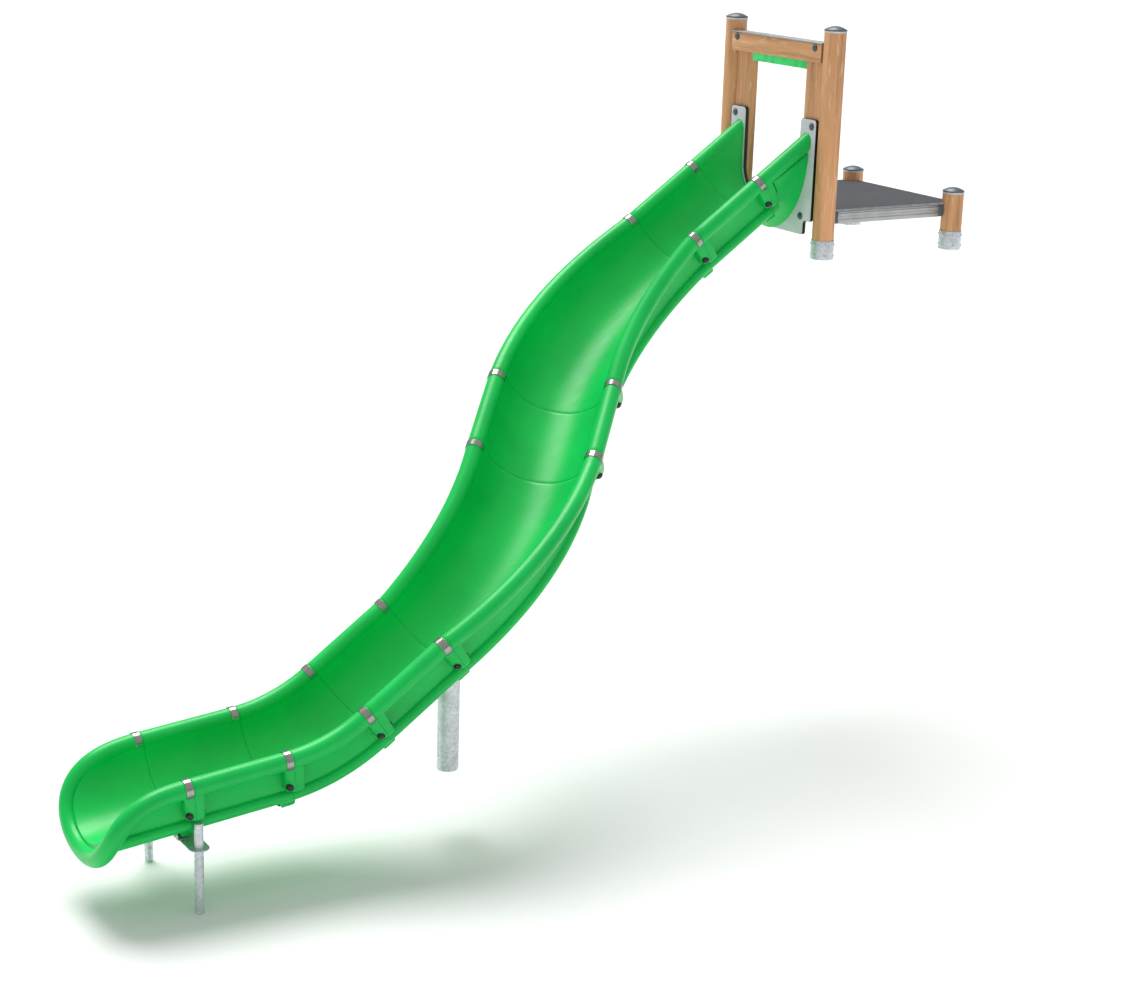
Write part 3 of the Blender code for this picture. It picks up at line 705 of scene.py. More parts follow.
def combined(mesh, other, operation):
    """A Boolean of two closed meshes."""
    cutter = bpy.data.objects.new("cutter", other)
    bpy.context.scene.collection.objects.link(cutter)
    made = applied(mesh, ("BOOLEAN", {"operation": operation, "object": cutter, "solver": "MANIFOLD"}))
    bpy.data.objects.remove(cutter, do_unlink=True)
    made.shade_smooth()
    made.set_sharp_from_angle(angle=math.radians(32))
    return made


def arc(centre, radius, start, end, steps):
    """Points on an arc, angles in degrees from +X towards +Y."""
    angles = [math.radians(start + (end - start) * step / steps) for step in range(steps + 1)]
    return [(centre[0] + radius * math.cos(a), centre[1] + radius * math.sin(a)) for a in angles]


def resampled(points, count):
    """The same open line with a given number of evenly spaced points."""
    line = np.array(points, float)
    lengths = np.concatenate([[0], np.cumsum(np.linalg.norm(np.diff(line, axis=0), axis=1))])
    wanted = np.linspace(0, lengths[-1], count)
    return np.stack([np.interp(wanted, lengths, line[:, axis]) for axis in range(line.shape[1])], 1)


def softened(points, passes):
    """Round the creases of an open line by averaging neighbours, with its ends kept."""
    line = np.array(points, float)
    for _ in range(passes):
        line[1:-1] = (line[:-2] + 2 * line[1:-1] + line[2:]) / 4
    return line


def rounded_box(low, high, radius, segments=3):
    bm = bmesh.new()
    low, high = Vector(low), Vector(high)
    place = Matrix.Translation((low + high) / 2) @ Matrix.Diagonal((*(high - low), 1.0))
    bmesh.ops.create_cube(bm, size=1.0, matrix=place)
    if radius:
        edges = bm.edges[:]
        bmesh.ops.bevel(bm, geom=edges, offset=radius, segments=segments, profile=0.5, affect="EDGES")
    return mesh_from(bm, "box", 30)


def turned(profile, place, segments=96, sharp=40):
    """Turn a closed profile of (radius, height) points about an upright line."""
    x, y, foot = place
    bm = bmesh.new()
    rings = []
    for step in range(segments):
        angle = 2 * math.pi * step / segments
        rings.append(
            [
                bm.verts.new((x + r * math.cos(angle), y + r * math.sin(angle), foot + z))
                for r, z in profile
            ]
        )
    count = len(profile)
    for first, second in zip(rings, rings[1:] + rings[:1]):
        for index in range(count):
            following = (index + 1) % count
            bm.faces.new((first[index], first[following], second[following], second[index]))
    bmesh.ops.remove_doubles(bm, verts=bm.verts, dist=0.00002)
    on_axis = [edge for edge in bm.edges if edge.is_wire]
    bmesh.ops.delete(bm, geom=on_axis, context="EDGES")
    return mesh_from(bm, "turned", sharp)


def extruded(outline, low, high, axes, place=(0, 0, 0), bevel=0.0):
    """Push a flat outline from low to high along the third of three axes, given as unit vectors."""
    first, second, third = (Vector(axis) for axis in axes)
    origin = Vector(place)
    rings = [
        [origin + first * x + second * y + third * depth for x, y in outline] for depth in (low, high)
    ]
    mesh = loft_rings(rings, sharp=30)
    if bevel:
        limit = math.radians(50)
        settings = {"width": bevel, "segments": 2, "limit_method": "ANGLE", "angle_limit": limit}
        mesh = applied(mesh, ("BEVEL", settings))
        mesh.shade_smooth()
        mesh.set_sharp_from_angle(angle=math.radians(30))
    return mesh


# The chute's line


def chute_pieces():
    """Each stretch as (length along the slope, turn, slope at its start, slope at its end)."""
    curve_length = CURVE_RADIUS * CURVE_ANGLE / math.cos(SLOPE)
    dip_length = DIP_RADIUS * (SLOPE - RUNOUT_SLOPE)
    return [
        (START_LENGTH + STRAIGHT, 0.0, SLOPE, SLOPE),
        (curve_length, CURVE_ANGLE, SLOPE, SLOPE),
        (STRAIGHT, 0.0, SLOPE, SLOPE),
        (curve_length, -CURVE_ANGLE, SLOPE, SLOPE),
        (STRAIGHT, 0.0, SLOPE, SLOPE),
        (dip_length, 0.0, SLOPE, RUNOUT_SLOPE),
        (RUNOUT_STRAIGHT + 1.0, 0.0, RUNOUT_SLOPE, RUNOUT_SLOPE),
    ]


def joint_distances():
    lengths = [length for length, _, _, _ in chute_pieces()]
    distances = [START_LENGTH]
    for length in (STRAIGHT, *lengths[1:6], RUNOUT_STRAIGHT):
        distances.append(distances[-1] + length)
    return distances


def move_along(position, heading, length, turn, slope_start, slope_end):
    """Position and heading after a stretch that turns in plan or bends in the slope."""
    x, y, z = position
    if turn:
        side = math.copysign(CURVE_RADIUS, turn)
        end = heading + turn
        x += side * (math.cos(heading) - math.cos(end))
        y -= side * (math.sin(end) - math.sin(heading))
        return (x, y, z - length * math.sin(SLOPE)), end
    if slope_start != slope_end:
        run = DIP_RADIUS * (math.sin(slope_start) - math.sin(slope_end))
        drop = DIP_RADIUS * (math.cos(slope_end) - math.cos(slope_start))
    else:
        run = length * math.cos(slope_start)
        drop = length * math.sin(slope_start)
    return (x + run * math.sin(heading), y - run * math.cos(heading), z - drop), heading


def chute_frame(distance):
    """Frame on the rail-centre line: X to the near side, Y uphill, Z out of the trough's floor."""
    position = (CHUTE_X, PLATE_FACE, RAIL_START_HEIGHT)
    heading = 0.0
    left = distance
    slope = SLOPE
    for length, turn, slope_start, slope_end in chute_pieces():
        part = min(left, length)
        share = part / length
        slope = slope_start + (slope_end - slope_start) * share
        position, heading = move_along(position, heading, part, turn * share, slope_start, slope)
        left -= part
        if left <= 0:
            break
    level = Vector((math.sin(heading), -math.cos(heading), 0))
    forward = level * math.cos(slope) - Vector((0, 0, math.sin(slope)))
    lateral = Vector((math.cos(heading), math.sin(heading), 0))
    normal = forward.cross(lateral)
    rotation = Matrix((lateral, -forward, normal)).transposed()
    return Matrix.Translation(position) @ rotation.to_4x4()


# The chute's cross-section


def trough_line():
    """Inner surface from the floor's centre up to the rail, with the small groove beside the rail."""
    contact = -math.degrees(math.asin((TROUGH_RISE + 0.020) / TROUGH_RADIUS))
    return arc((0, TROUGH_RISE), TROUGH_RADIUS, -90, contact, 60) + [(0.2812, -0.0150)]


def rail_line():
    """Rolled side rail, from its inner contact over the top to its underside."""
    return arc((RAIL_HALF_SPACING, 0), RAIL_RADIUS, 198, -78, 40)


def skin_line():
    """Outer wall under the rail, the bead along its foot and the underside to the centre."""
    wall = [
        (0.3200, -0.0480),
        (0.3080, -0.0530),
        (0.2960, -0.0760),
        (0.2860, -0.1050),
        (0.2785, -0.1400),
    ]
    bead = arc(BEAD_CENTRE, BEAD_RADIUS, 80, -105, 24)
    underside = arc((0, 0.0), 0.292, -58, -90, 16)
    return wall + bead + underside[1:]


def bell_skin_line(half_width, centre_height, depth):
    """Outer skin of the start section, round as an ellipse from under the rail to its lowest point."""
    angles = [math.radians(3 + 87 * step / 40) for step in range(41)]
    line = [(half_width * math.cos(a), centre_height - depth * math.sin(a)) for a in angles]
    line[-1] = (0.0, centre_height - depth)
    return line


def half_profile(parts, counts):
    """Join resampled stretches into one half outline that starts and ends on the centre line."""
    stretches = [resampled(part, count) for part, count in zip(parts, counts)]
    line = softened(np.concatenate(stretches), 1)
    line[0, 0] = 0.0
    line[-1, 0] = 0.0
    return line


def whole_profile(half):
    other = half[1:-1][::-1] * np.array([-1, 1])
    return np.concatenate([half, other])


def profile_counts():
    spacing = bpy.context.scene.slide_chute.profile_spacing
    return [max(12, round(length / spacing)) for length in (0.43, 0.22, 0.50)]


def chute_profile():
    return whole_profile(half_profile([trough_line(), rail_line(), skin_line()], profile_counts()))


def inset(profile, distance):
    """Move a closed outline inwards by a distance."""
    ahead = np.roll(profile, -1, axis=0) - np.roll(profile, 1, axis=0)
    ahead /= np.linalg.norm(ahead, axis=1)[:, None]
    normal = np.stack([-ahead[:, 1], ahead[:, 0]], 1)
    following = np.roll(profile, -1, axis=0)
    area = 0.5 * np.sum(profile[:, 0] * following[:, 1] - profile[:, 1] * following[:, 0])
    return profile + normal * distance * math.copysign(1, area)


def placed(matrix, profile):
    return [matrix @ Vector((x, 0, z)) for x, z in profile]


def swept_rings(profile, start, end, turning):
    """Rings of a section between two distances, its two ends slightly rounded over."""
    settings = bpy.context.scene.slide_chute
    edge = settings.seam_bevel
    inner = inset(profile, edge)
    between = inset(profile, edge * 0.3)
    spacing = settings.ring_spacing if turning else 0.06
    count = max(2, math.ceil((end - start - 2 * edge) / spacing))
    rings = [placed(chute_frame(start), inner), placed(chute_frame(start + edge * 0.3), between)]
    for step in range(count + 1):
        distance = start + edge + (end - start - 2 * edge) * step / count
        rings.append(placed(chute_frame(distance), profile))
    rings += [placed(chute_frame(end - edge * 0.3), between), placed(chute_frame(end), inner)]
    return rings


# Joint lugs


def lug_half(matrix, side, direction, lug, facet):
    """One half of a lug, out from the joint's plane, with a rounded foot and a slanting corner facet."""
    (inner_foot, inner_top), outer, (low, high), (top_length, foot_length) = lug
    rings = []
    for height, draw in [(low + rise, draw) for rise, draw in LUG_ROUNDING] + [(high, 0)]:
        share = (high - height) / (high - low)
        inner = inner_top + (inner_foot - inner_top) * share
        length = top_length + (foot_length - top_length) * share - draw / 2
        across, along = (max(0.003, size * share) for size in facet)
        edge = outer - draw
        outline = [
            (inner, SEAM_GAP / 2),
            (edge - 0.0015, SEAM_GAP / 2),
            (edge, SEAM_GAP / 2 + 0.0015),
            (edge, length - along),
            (edge - across * 0.12, length - along * 0.88 + 0.0012),
            (edge - across * 0.88 + 0.0012, length - along * 0.12),
            (edge - across, length),
            (inner, length),
        ]
        rings.append([matrix @ Vector((side * x, direction * y, height)) for x, y in outline])
    return loft_rings(rings, sharp=28)


def with_lugs(mesh, uphill_joint, downhill_joint):
    """Join the lug halves to a section; at a joint, the downhill half is on the section below it."""
    for joint, direction in ((uphill_joint, -1), (downhill_joint, 1)):
        if joint is None:
            continue
        for side in (-1, 1):
            facet = BOLT_FACET if direction < 0 else (0.004, 0.004)
            for lug, size in ((SIDE_LUG, facet), (FOOT_LUG, (0.003, 0.003))):
                half = lug_half(chute_frame(joint), side, direction, lug, size)
                mesh = combined(mesh, half, "UNION")
    return mesh


# Chute sections


def start_section_mesh(seam):
    """The top section flares from the common profile to a deep bell against the start panel."""
    counts = profile_counts()
    edge = bpy.context.scene.slide_chute.seam_bevel
    common = chute_profile()
    bell = whole_profile(
        half_profile([trough_line(), rail_line(), bell_skin_line(0.350, -0.020, 0.278)], counts)
    )
    side_top = (0.2800, RAIL_START_HEIGHT - 0.0180)
    throat = [(0, MOUTH_FLOOR), (0.090, MOUTH_FLOOR)]
    throat += arc((0.100, MOUTH_FLOOR + 0.178), 0.178, -90, -4, 30) + [side_top]
    rail = [(x, RAIL_START_HEIGHT + z / math.cos(SLOPE)) for x, z in rail_line()]
    skin = bell_skin_line(0.356, 0.600, 0.488)
    mouth = whole_profile(half_profile([throat, rail, skin], counts))
    mouth_ring = np.array([(CHUTE_X + x, PLATE_FACE, z) for x, z in mouth])
    low = chute_frame(seam - SEAM_GAP / 2)
    rings = [
        placed(low, inset(common, edge)),
        placed(chute_frame(seam - SEAM_GAP / 2 - edge), common),
        placed(chute_frame(seam - BELL_START + 0.014), common),
    ]
    bell_ring = np.array([tuple(p) for p in placed(chute_frame(seam - BELL_START), bell)])
    steps = 14
    for step in range(steps + 1):
        share = step / steps
        rings.append([Vector(p) for p in bell_ring * (1 - share) + mouth_ring * share])
    return with_lugs(loft_rings(rings), None, seam)


def rim_point(share):
    """Half of the exit rim, from the rail (0) to the middle of the lip (1): run, lateral, height."""
    controls = [
        (-CLIP_OFFSET, RAIL_HALF_SPACING, CLIP_OFFSET * math.tan(RUNOUT_SLOPE)),
        (0.182, RAIL_HALF_SPACING, -0.182 * math.tan(RUNOUT_SLOPE)),
        (0.375, 0.292, -0.052),
        (0.388, 0.396, -0.251),
        (EXIT_REACH, 0.198, -EXIT_DROP),
        (EXIT_REACH, 0.0, -EXIT_DROP),
    ]
    degree = len(controls) - 1
    point = Vector((0, 0, 0))
    for index, control in enumerate(controls):
        weight = math.comb(degree, index) * (1 - share) ** (degree - index) * share**index
        point += weight * Vector(control)
    return point


def rim_mesh(start, matrix):
    """The rolled rim from the near rail round the lip to the far rail."""
    steps = 70
    half = [rim_point(step / steps) for step in range(steps + 1)]
    near = [start + Vector((lateral, -run, height)) for run, lateral, height in half]
    far = [start + Vector((-lateral, -run, height)) for run, lateral, height in half[:-1]]
    path = near + far[::-1]
    for end, side in ((0, 1), (-1, -1)):
        path[end] = matrix @ Vector((side * RAIL_HALF_SPACING, -SEAM_GAP / 2, 0))
    line = resampled([tuple(p) for p in path], 240)
    edge = bpy.context.scene.slide_chute.seam_bevel
    rings = []
    side_axis = Vector((1, 0, 0))
    last = len(line) - 1
    for index, point in enumerate(line):
        ahead = Vector(line[min(index + 1, last)]) - Vector(line[max(index - 1, 0)])
        ahead.normalize()
        if index in (0, last):
            ahead = matrix.col[1].to_3d() * (-1 if index == 0 else 1)
        side_axis = (side_axis - ahead * side_axis.dot(ahead)).normalized()
        other = ahead.cross(side_axis)
        radius = RAIL_RADIUS - (edge if index in (0, last) else 0)
        ring = [
            Vector(point) + side_axis * radius * math.cos(a) + other * radius * math.sin(a)
            for a in (2 * math.pi * step / 56 for step in range(56))
        ]
        rings.append(ring)
    return loft_rings(rings)


def exit_section_mesh(seam):
    """The last section: the trough is cut along a rolled rim that runs round the lip."""
    matrix = chute_frame(seam)
    start = chute_frame(seam + CLIP_OFFSET).translation
    edge = bpy.context.scene.slide_chute.seam_bevel
    counts = profile_counts()
    inward = [(0.2812, -0.0150), (RAIL_HALF_SPACING, 0.0), (0.3200, -0.0480)]
    lines = [trough_line(), inward, skin_line()]
    profile = whole_profile(half_profile(lines, [counts[0], 8, counts[2]]))
    rings = []
    for along, amount in ((SEAM_GAP / 2, edge), (edge, 0.0)):
        ring = inset(profile, amount)
        rings.append([matrix @ Vector((x, -along, z)) for x, z in ring])
    for step in range(1, 7):
        along = edge + (EXIT_REACH + 0.06 - edge) * step / 6
        rings.append([matrix @ Vector((x, -along, z)) for x, z in profile])
    body = loft_rings(rings)
    side_view = [rim_point(step / 60).xz for step in range(61)]
    beyond = [(EXIT_REACH, -0.6), (0.7, -0.6), (0.7, 0.2), (-CLIP_OFFSET, 0.2)]
    outline = [tuple(point) for point in side_view] + beyond
    ahead = extruded(outline, -0.6, 0.6, ((0, -1, 0), (0, 0, 1), (-1, 0, 0)), start)
    body = combined(body, ahead, "DIFFERENCE")
    body = combined(body, rim_mesh(start, matrix), "UNION")
    return with_lugs(body, seam, None)


def build_chute():
    seams = [distance - CLIP_OFFSET for distance in joint_distances()]
    stretches = [
        ("upper_straight_section", False),
        ("left_curve_section", True),
        ("middle_straight_section", True),
        ("right_curve_section", True),
        ("lower_straight_section", True),
        ("dip_section", True),
        ("run_out_section", True),
    ]
    profile = chute_profile()
    made = {"start_section": start_section_mesh(seams[0])}
    for (name, turning), start, end in zip(stretches, seams, seams[1:]):
        rings = swept_rings(profile, start + SEAM_GAP / 2, end - SEAM_GAP / 2, turning)
        made[name] = with_lugs(loft_rings(rings), start, end)
    made["exit_section"] = exit_section_mesh(seams[-1])
    for name, mesh in made.items():
        piece(f"{name}_moulding", mesh, [GREEN], "green_polyethylene", name)


# Rail clips


def clip_mesh(distance, side):
    """A pressed band bent over the rail, its two long edges lightly chamfered."""
    settings = bpy.context.scene.slide_hardware
    width, thickness = settings.clip_width, settings.clip_thickness
    inner = RAIL_RADIUS + 0.0012
    outer = inner + thickness
    steps = 60
    angles = [math.radians(187 + (-45 - 187) * step / steps) for step in range(steps + 1)]
    edge = 0.0009
    section = [
        (-width / 2, inner),
        (-width / 2, outer - edge),
        (-width / 2 + edge, outer),
        (width / 2 - edge, outer),
        (width / 2, outer - edge),
        (width / 2, inner),
    ]
    frames = {along: chute_frame(distance - along) for along, _ in section}
    rings = []
    for angle in angles:
        ring = []
        for along, radius in section:
            x = RAIL_HALF_SPACING + radius * math.cos(angle)
            ring.append(frames[along] @ Vector((side * x, 0, radius * math.sin(angle))))
        rings.append(ring)
    return loft_rings(rings)


def build_clips():
    for number, distance in enumerate(joint_distances(), start=1):
        for side, word in ((1, "near"), (-1, "far")):
            node = f"rail_clip_{number}_{word}"
            piece(f"{node}_band", clip_mesh(distance, side), [STAINLESS], "stainless_steel", node)


# Fasteners, made by geometry nodes


FASTENER_SIZES = ("Washer radius", "Washer thickness", "Cap radius", "Cap height")


def fastener_tree():
    """Places a washer and a domed cap on every point, turned to the point's own axis attribute."""
    tree = bpy.data.node_groups.get("domed_fasteners")
    if tree:
        return tree
    tree = bpy.data.node_groups.new("domed_fasteners", "GeometryNodeTree")
    face = tree.interface
    face.new_socket("Geometry", in_out="INPUT", socket_type="NodeSocketGeometry")
    for name in FASTENER_SIZES:
        socket = face.new_socket(name, in_out="INPUT", socket_type="NodeSocketFloat")
        socket.subtype = "DISTANCE"
        socket.default_value = 0.01
    face.new_socket("Material", in_out="INPUT", socket_type="NodeSocketMaterial")
    face.new_socket("Geometry", in_out="OUTPUT", socket_type="NodeSocketGeometry")
    given = add_node(tree, "NodeGroupInput").node.outputs
    cylinder = add_node(
        tree,
        "GeometryNodeMeshCylinder",
        {"Vertices": 28, "Radius": given["Washer radius"], "Depth": given["Washer thickness"]},
    )
    half = add_node(
        tree, "ShaderNodeMath", {0: given["Washer thickness"], 1: 0.5}, operation="MULTIPLY"
    )
    lift = add_node(tree, "ShaderNodeCombineXYZ", {"Z": half})
    washer = add_node(tree, "GeometryNodeTransform", {"Geometry": cylinder, "Translation": lift})
    ball = add_node(tree, "GeometryNodeMeshUVSphere", {"Segments": 28, "Rings": 16, "Radius": 1.0})
    size = add_node(
        tree,
        "ShaderNodeCombineXYZ",
        {"X": given["Cap radius"], "Y": given["Cap radius"], "Z": given["Cap height"]},
    )
    dome = add_node(tree, "GeometryNodeTransform", {"Geometry": ball, "Scale": size})
    whole = add_node(tree, "GeometryNodeJoinGeometry", {"Geometry": washer})
    tree.links.new(dome, whole.node.inputs["Geometry"])
    axis = add_node(
        tree,
        "GeometryNodeInputNamedAttribute",
        {"Name": "axis"},
        "Attribute",
        data_type="FLOAT_VECTOR",
    )
    turn = add_node(tree, "FunctionNodeAlignRotationToVector", {"Vector": axis}, axis="Z")
    instances = add_node(
        tree,
        "GeometryNodeInstanceOnPoints",
        {"Points": given["Geometry"], "Instance": whole, "Rotation": turn},
    )
    real = add_node(tree, "GeometryNodeRealizeInstances", {"Geometry": instances})
    smooth = add_node(tree, "GeometryNodeSetShadeSmooth", {"Geometry": real})
    coloured = add_node(
        tree, "GeometryNodeSetMaterial", {"Geometry": smooth, "Material": given["Material"]}
    )
    add_node(tree, "NodeGroupOutput", {"Geometry": coloured})
    return tree


def fasteners(name, places, sizes, material, slot):
    """A piece of like fasteners; each place is (point, outward axis)."""
    mesh = bpy.data.meshes.new(name)
    mesh.from_pydata([tuple(point) for point, _ in places], [], [])
    attribute = mesh.attributes.new("axis", "FLOAT_VECTOR", "POINT")
    for value, (_, axis) in zip(attribute.data, places):
        value.vector = Vector(axis).normalized()
    points = bpy.data.objects.new(name + "_places", mesh)
    bpy.context.scene.collection.objects.link(points)
    modifier = points.modifiers.new("fasteners", "NODES")
    modifier.node_group = fastener_tree()
    sockets = {item.name: item.identifier for item in modifier.node_group.interface.items_tree}
    for key, value in zip(FASTENER_SIZES, sizes):
        modifier[sockets[key]] = value
    modifier[sockets["Material"]] = finish(material)
    graph = bpy.context.evaluated_depsgraph_get()
    made = bpy.data.meshes.new_from_object(points.evaluated_get(graph))
    bpy.data.objects.remove(points, do_unlink=True)
    made.shade_smooth()
    made.set_sharp_from_angle(angle=math.radians(40))
    return piece(name, made, [material], slot)


def lug_bolt_places():
    """Places for the caps on side lugs and on foot lugs, each as (point, outward axis)."""
    sides, feet = [], []
    _, outer, (low, high), (top_length, foot_length) = SIDE_LUG
    across, along = BOLT_FACET
    length = top_length + (foot_length - top_length) * BOLT_SHARE
    facet = Vector((along * (high - low), across * (high - low), -across * along)).normalized()
    _, _, (foot_low, foot_high), (foot_top_length, foot_foot_length) = FOOT_LUG
    for distance in joint_distances():
        matrix = chute_frame(distance - CLIP_OFFSET)
        turn = matrix.to_3x3()
        for side in (-1, 1):
            x = side * (outer - across * BOLT_SHARE / 2)
            y = -(length - along * BOLT_SHARE / 2)
            z = high - (high - low) * BOLT_SHARE
            outward = Vector((side * facet.x, -facet.y, facet.z))
            sides.append((matrix @ Vector((x, y, z)), turn @ outward))
            nut = Vector((side * LUG_NUT_LATERAL, length, z))
            sides.append((matrix @ nut, turn @ Vector((0, 1, 0))))
            lean = (foot_top_length - foot_foot_length) / (foot_high - foot_low)
            for direction in (-1, 1):
                reach = foot_foot_length + lean * (FOOT_BOLT[1] - foot_low)
                point = matrix @ Vector((side * FOOT_BOLT[0], direction * reach, FOOT_BOLT[1]))
                feet.append((point, turn @ Vector((0, direction, -lean))))
    return sides, feet


def foot_screw_places():
    count = bpy.context.scene.slide_hardware.foot_screw_count
    places = []
    for word in ("near_tall", "far_tall", "near_short", "far_short"):
        low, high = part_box(f"{word}_post_foot")
        centre, radius = (low + high) / 2, (high.x - low.x) / 2
        for height in FOOT_SCREW_HEIGHTS:
            for step in range(count):
                angle = 2 * math.pi * (step - 0.36) / count
                axis = Vector((math.cos(angle), math.sin(angle), 0))
                level = low.z + (high.z - low.z) * height
                places.append((Vector((centre.x, centre.y, level)) + axis * (radius - 0.0008), axis))
    return places


def build_fasteners():
    settings = bpy.context.scene.slide_hardware
    sides, feet = lug_bolt_places()
    cap = settings.lug_bolt_radius
    fasteners("lug_bolt_caps", sides, (cap * 1.12, 0.004, cap, 0.0140), BLACK_CAP, "dark_cap_plastic")
    foot_cap = cap * 0.8
    sizes = (foot_cap * 1.15, 0.004, foot_cap, 0.012)
    fasteners("foot_lug_bolt_caps", feet, sizes, BLACK_CAP, "dark_cap_plastic")
    coach = settings.coach_bolt_radius
    front = (0, -1, 0)
    beam_low, beam_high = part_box("top_beam")
    lateral, drop = BEAM_BOLT
    beam = [
        (Vector((CHUTE_X + side * lateral, beam_low.y, beam_high.z - drop)), front)
        for side in (-1, 1)
    ]
    panel = [
        (Vector((CHUTE_X + side * x, PANEL_FRONT, z)), front)
        for side in (-1, 1)
        for x, z in PANEL_BOLTS
    ]
    sizes = (coach * 1.10, 0.0030, coach, 0.0140)
    fasteners("coach_bolt_heads", beam + panel, sizes, CAP_PLASTIC, "dark_cap_plastic")
    screw = settings.foot_screw_radius
    sizes = (screw * 1.25, 0.0020, screw, 0.0080)
    fasteners("post_foot_screws", foot_screw_places(), sizes, GALVANISED, "galvanised_steel")
    steel = []
    for word in ("near", "far"):
        low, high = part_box(f"{word}_run_out_leg")
        centre = (low + high) / 2
        steel.append((Vector((high.x - 0.0006, centre.y, low.z + 0.072)), (1, 0, 0)))
        steel.append((Vector((low.x + 0.0006, centre.y, low.z + 0.072)), (-1, 0, 0)))
        low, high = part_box(f"{word}_lug_bracket")
        steel.append((Vector(((low.x + high.x) / 2, low.y, high.z - 0.012)), front))
    sizes = (0.0105, 0.0020, 0.0085, 0.0080)
    fasteners("support_bolts", steel, sizes, GALVANISED, "galvanised_steel")


# Start frame


def build_posts():
    for word in ("near_tall", "far_tall", "near_short", "far_short"):
        low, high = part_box(f"{word}_post")
        centre = (low + high) / 2
        radius = (high.x - low.x) / 2
        tall = high.z - low.z
        profile = [(0, 0), (radius, 0), (radius, tall - 0.003), (radius - 0.003, tall), (0, tall)]
        mesh = turned(profile, (centre.x, centre.y, low.z), 128)
        piece(f"{word}_round_post", mesh, [UPRIGHT_TIMBER], "oiled_timber", f"{word}_post")
        low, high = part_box(f"{word}_post_foot")
        outer = (high.x - low.x) / 2
        tall = high.z - low.z
        foot = [
            (0, 0),
            (outer - 0.0015, 0),
            (outer, 0.0015),
            (outer, tall - 0.002),
            (outer - 0.0008, tall),
            (outer - 0.0022, tall),
            (outer - 0.0025, tall - 0.002),
            (outer - 0.0025, 0.006),
            (0, 0.006),
        ]
        mesh = turned(foot, (centre.x, centre.y, low.z), 128)
        piece(f"{word}_post_sleeve", mesh, [GALVANISED], "galvanised_steel", f"{word}_post_foot")
        low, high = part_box(f"{word}_post_cap")
        outer = (high.x - low.x) / 2
        seat = high.z - 0.022 - low.z
        rise = 0.022
        sphere = (outer**2 + rise**2) / (2 * rise)
        reach = math.asin((outer - 0.004) / sphere)
        dome = [
            (
                sphere * math.sin(reach * step / 16),
                high.z - low.z - sphere * (1 - math.cos(reach * step / 16)),
            )
            for step in range(17)
        ]
        dome += arc((outer - 0.004, seat + 0.0005), 0.004, 60, -90, 6)
        dome += [(outer - 0.003, seat - 0.0035), (0, seat - 0.0035 + 0.0038)]
        mesh = turned(dome, (centre.x, centre.y, low.z), 96)
        piece(f"{word}_cap_dome", mesh, [CAP_PLASTIC], "dark_cap_plastic", f"{word}_post_cap")
        # A pale band under the dome, in light grey plastic, where the cap's skirt shows a light-grey
        # ring
        ring = [
            (outer - 0.0025, 0.0),
            (outer - 0.0005, 0.0012),
            (outer - 0.0005, seat - 0.0045),
            (outer - 0.0012, seat - 0.0037),
            (radius + 0.0004, seat - 0.0037),
            (radius + 0.0004, 0.0),
        ]
        mesh = turned(ring, (centre.x, centre.y, low.z), 96)
        piece(f"{word}_cap_pale_band", mesh, [PALE_BAND_PLASTIC], "dark_cap_plastic")


def with_end_faces(mesh, axis):
    """Give the faces that look along an axis the second material slot."""
    for polygon in mesh.polygons:
        polygon.material_index = int(abs(polygon.normal[axis]) > 0.9)
    return mesh


def scribed(mesh, node):
    """Cut a timber or its capping round the two tall posts."""
    low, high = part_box(node)
    for word in ("near_tall", "far_tall"):
        post_low, post_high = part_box(f"{word}_post")
        centre, radius = (post_low + post_high) / 2, (post_high.x - post_low.x) / 2 + 0.001
        outline = arc((centre.x, centre.y), radius, 0, 360 - 360 / 96, 95)
        axes = ((1, 0, 0), (0, 1, 0), (0, 0, 1))
        mesh = combined(mesh, extruded(outline, low.z - 0.05, high.z + 0.05, axes), "DIFFERENCE")
    return mesh


def build_top_frame():
    radius = bpy.context.scene.slide_timber.edge_radius
    for word in ("near", "far"):
        node = f"{word}_upright"
        mesh = with_end_faces(rounded_box(*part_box(node), radius), 2)
        piece(f"{node}_board", mesh, [UPRIGHT_TIMBER, END_GRAIN], "oiled_timber", node)
    mesh = scribed(rounded_box(*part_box("top_beam"), radius), "top_beam")
    mesh = with_end_faces(mesh, 0)
    piece("top_beam_board", mesh, [LEVEL_TIMBER, END_GRAIN], "oiled_timber", "top_beam")
    mesh = scribed(rounded_box(*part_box("top_beam_capping"), 0.0022), "top_beam_capping")
    piece("top_beam_capping_strip", mesh, [ALUMINIUM], "aluminium", "top_beam_capping")
    mesh = rounded_box(*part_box("head_infill_panel"), 0.004)
    for polygon in mesh.polygons:
        polygon.material_index = int(abs(polygon.normal.y) < 0.5)
    materials = [GREEN_SHEET, LAMINATE_CORE]
    piece("head_infill_board", mesh, materials, "green_polyethylene", "head_infill_panel")


def panel_outline():
    """The U-shaped start panel: cut-out with round corners, arms beside the rails and a stepped foot."""
    half = [(0, PANEL_FLOOR)]
    half += arc((0.083, PANEL_FLOOR + 0.180), 0.180, -90, 0, 24)
    half += arc((0.289, 0.752), 0.022, 180, 90, 8)
    half += arc((0.387, 0.752), 0.022, 90, 0, 8)
    half += arc((0.391, 0.218), 0.018, 0, -90, 8)
    half += arc((0.360, 0.180), 0.020, 90, 180, 8)
    half += arc((0.322, 0.136), 0.018, 0, -90, 8)
    half += [(0, 0.118)]
    return half + [(-x, z) for x, z in half[-2:0:-1]]


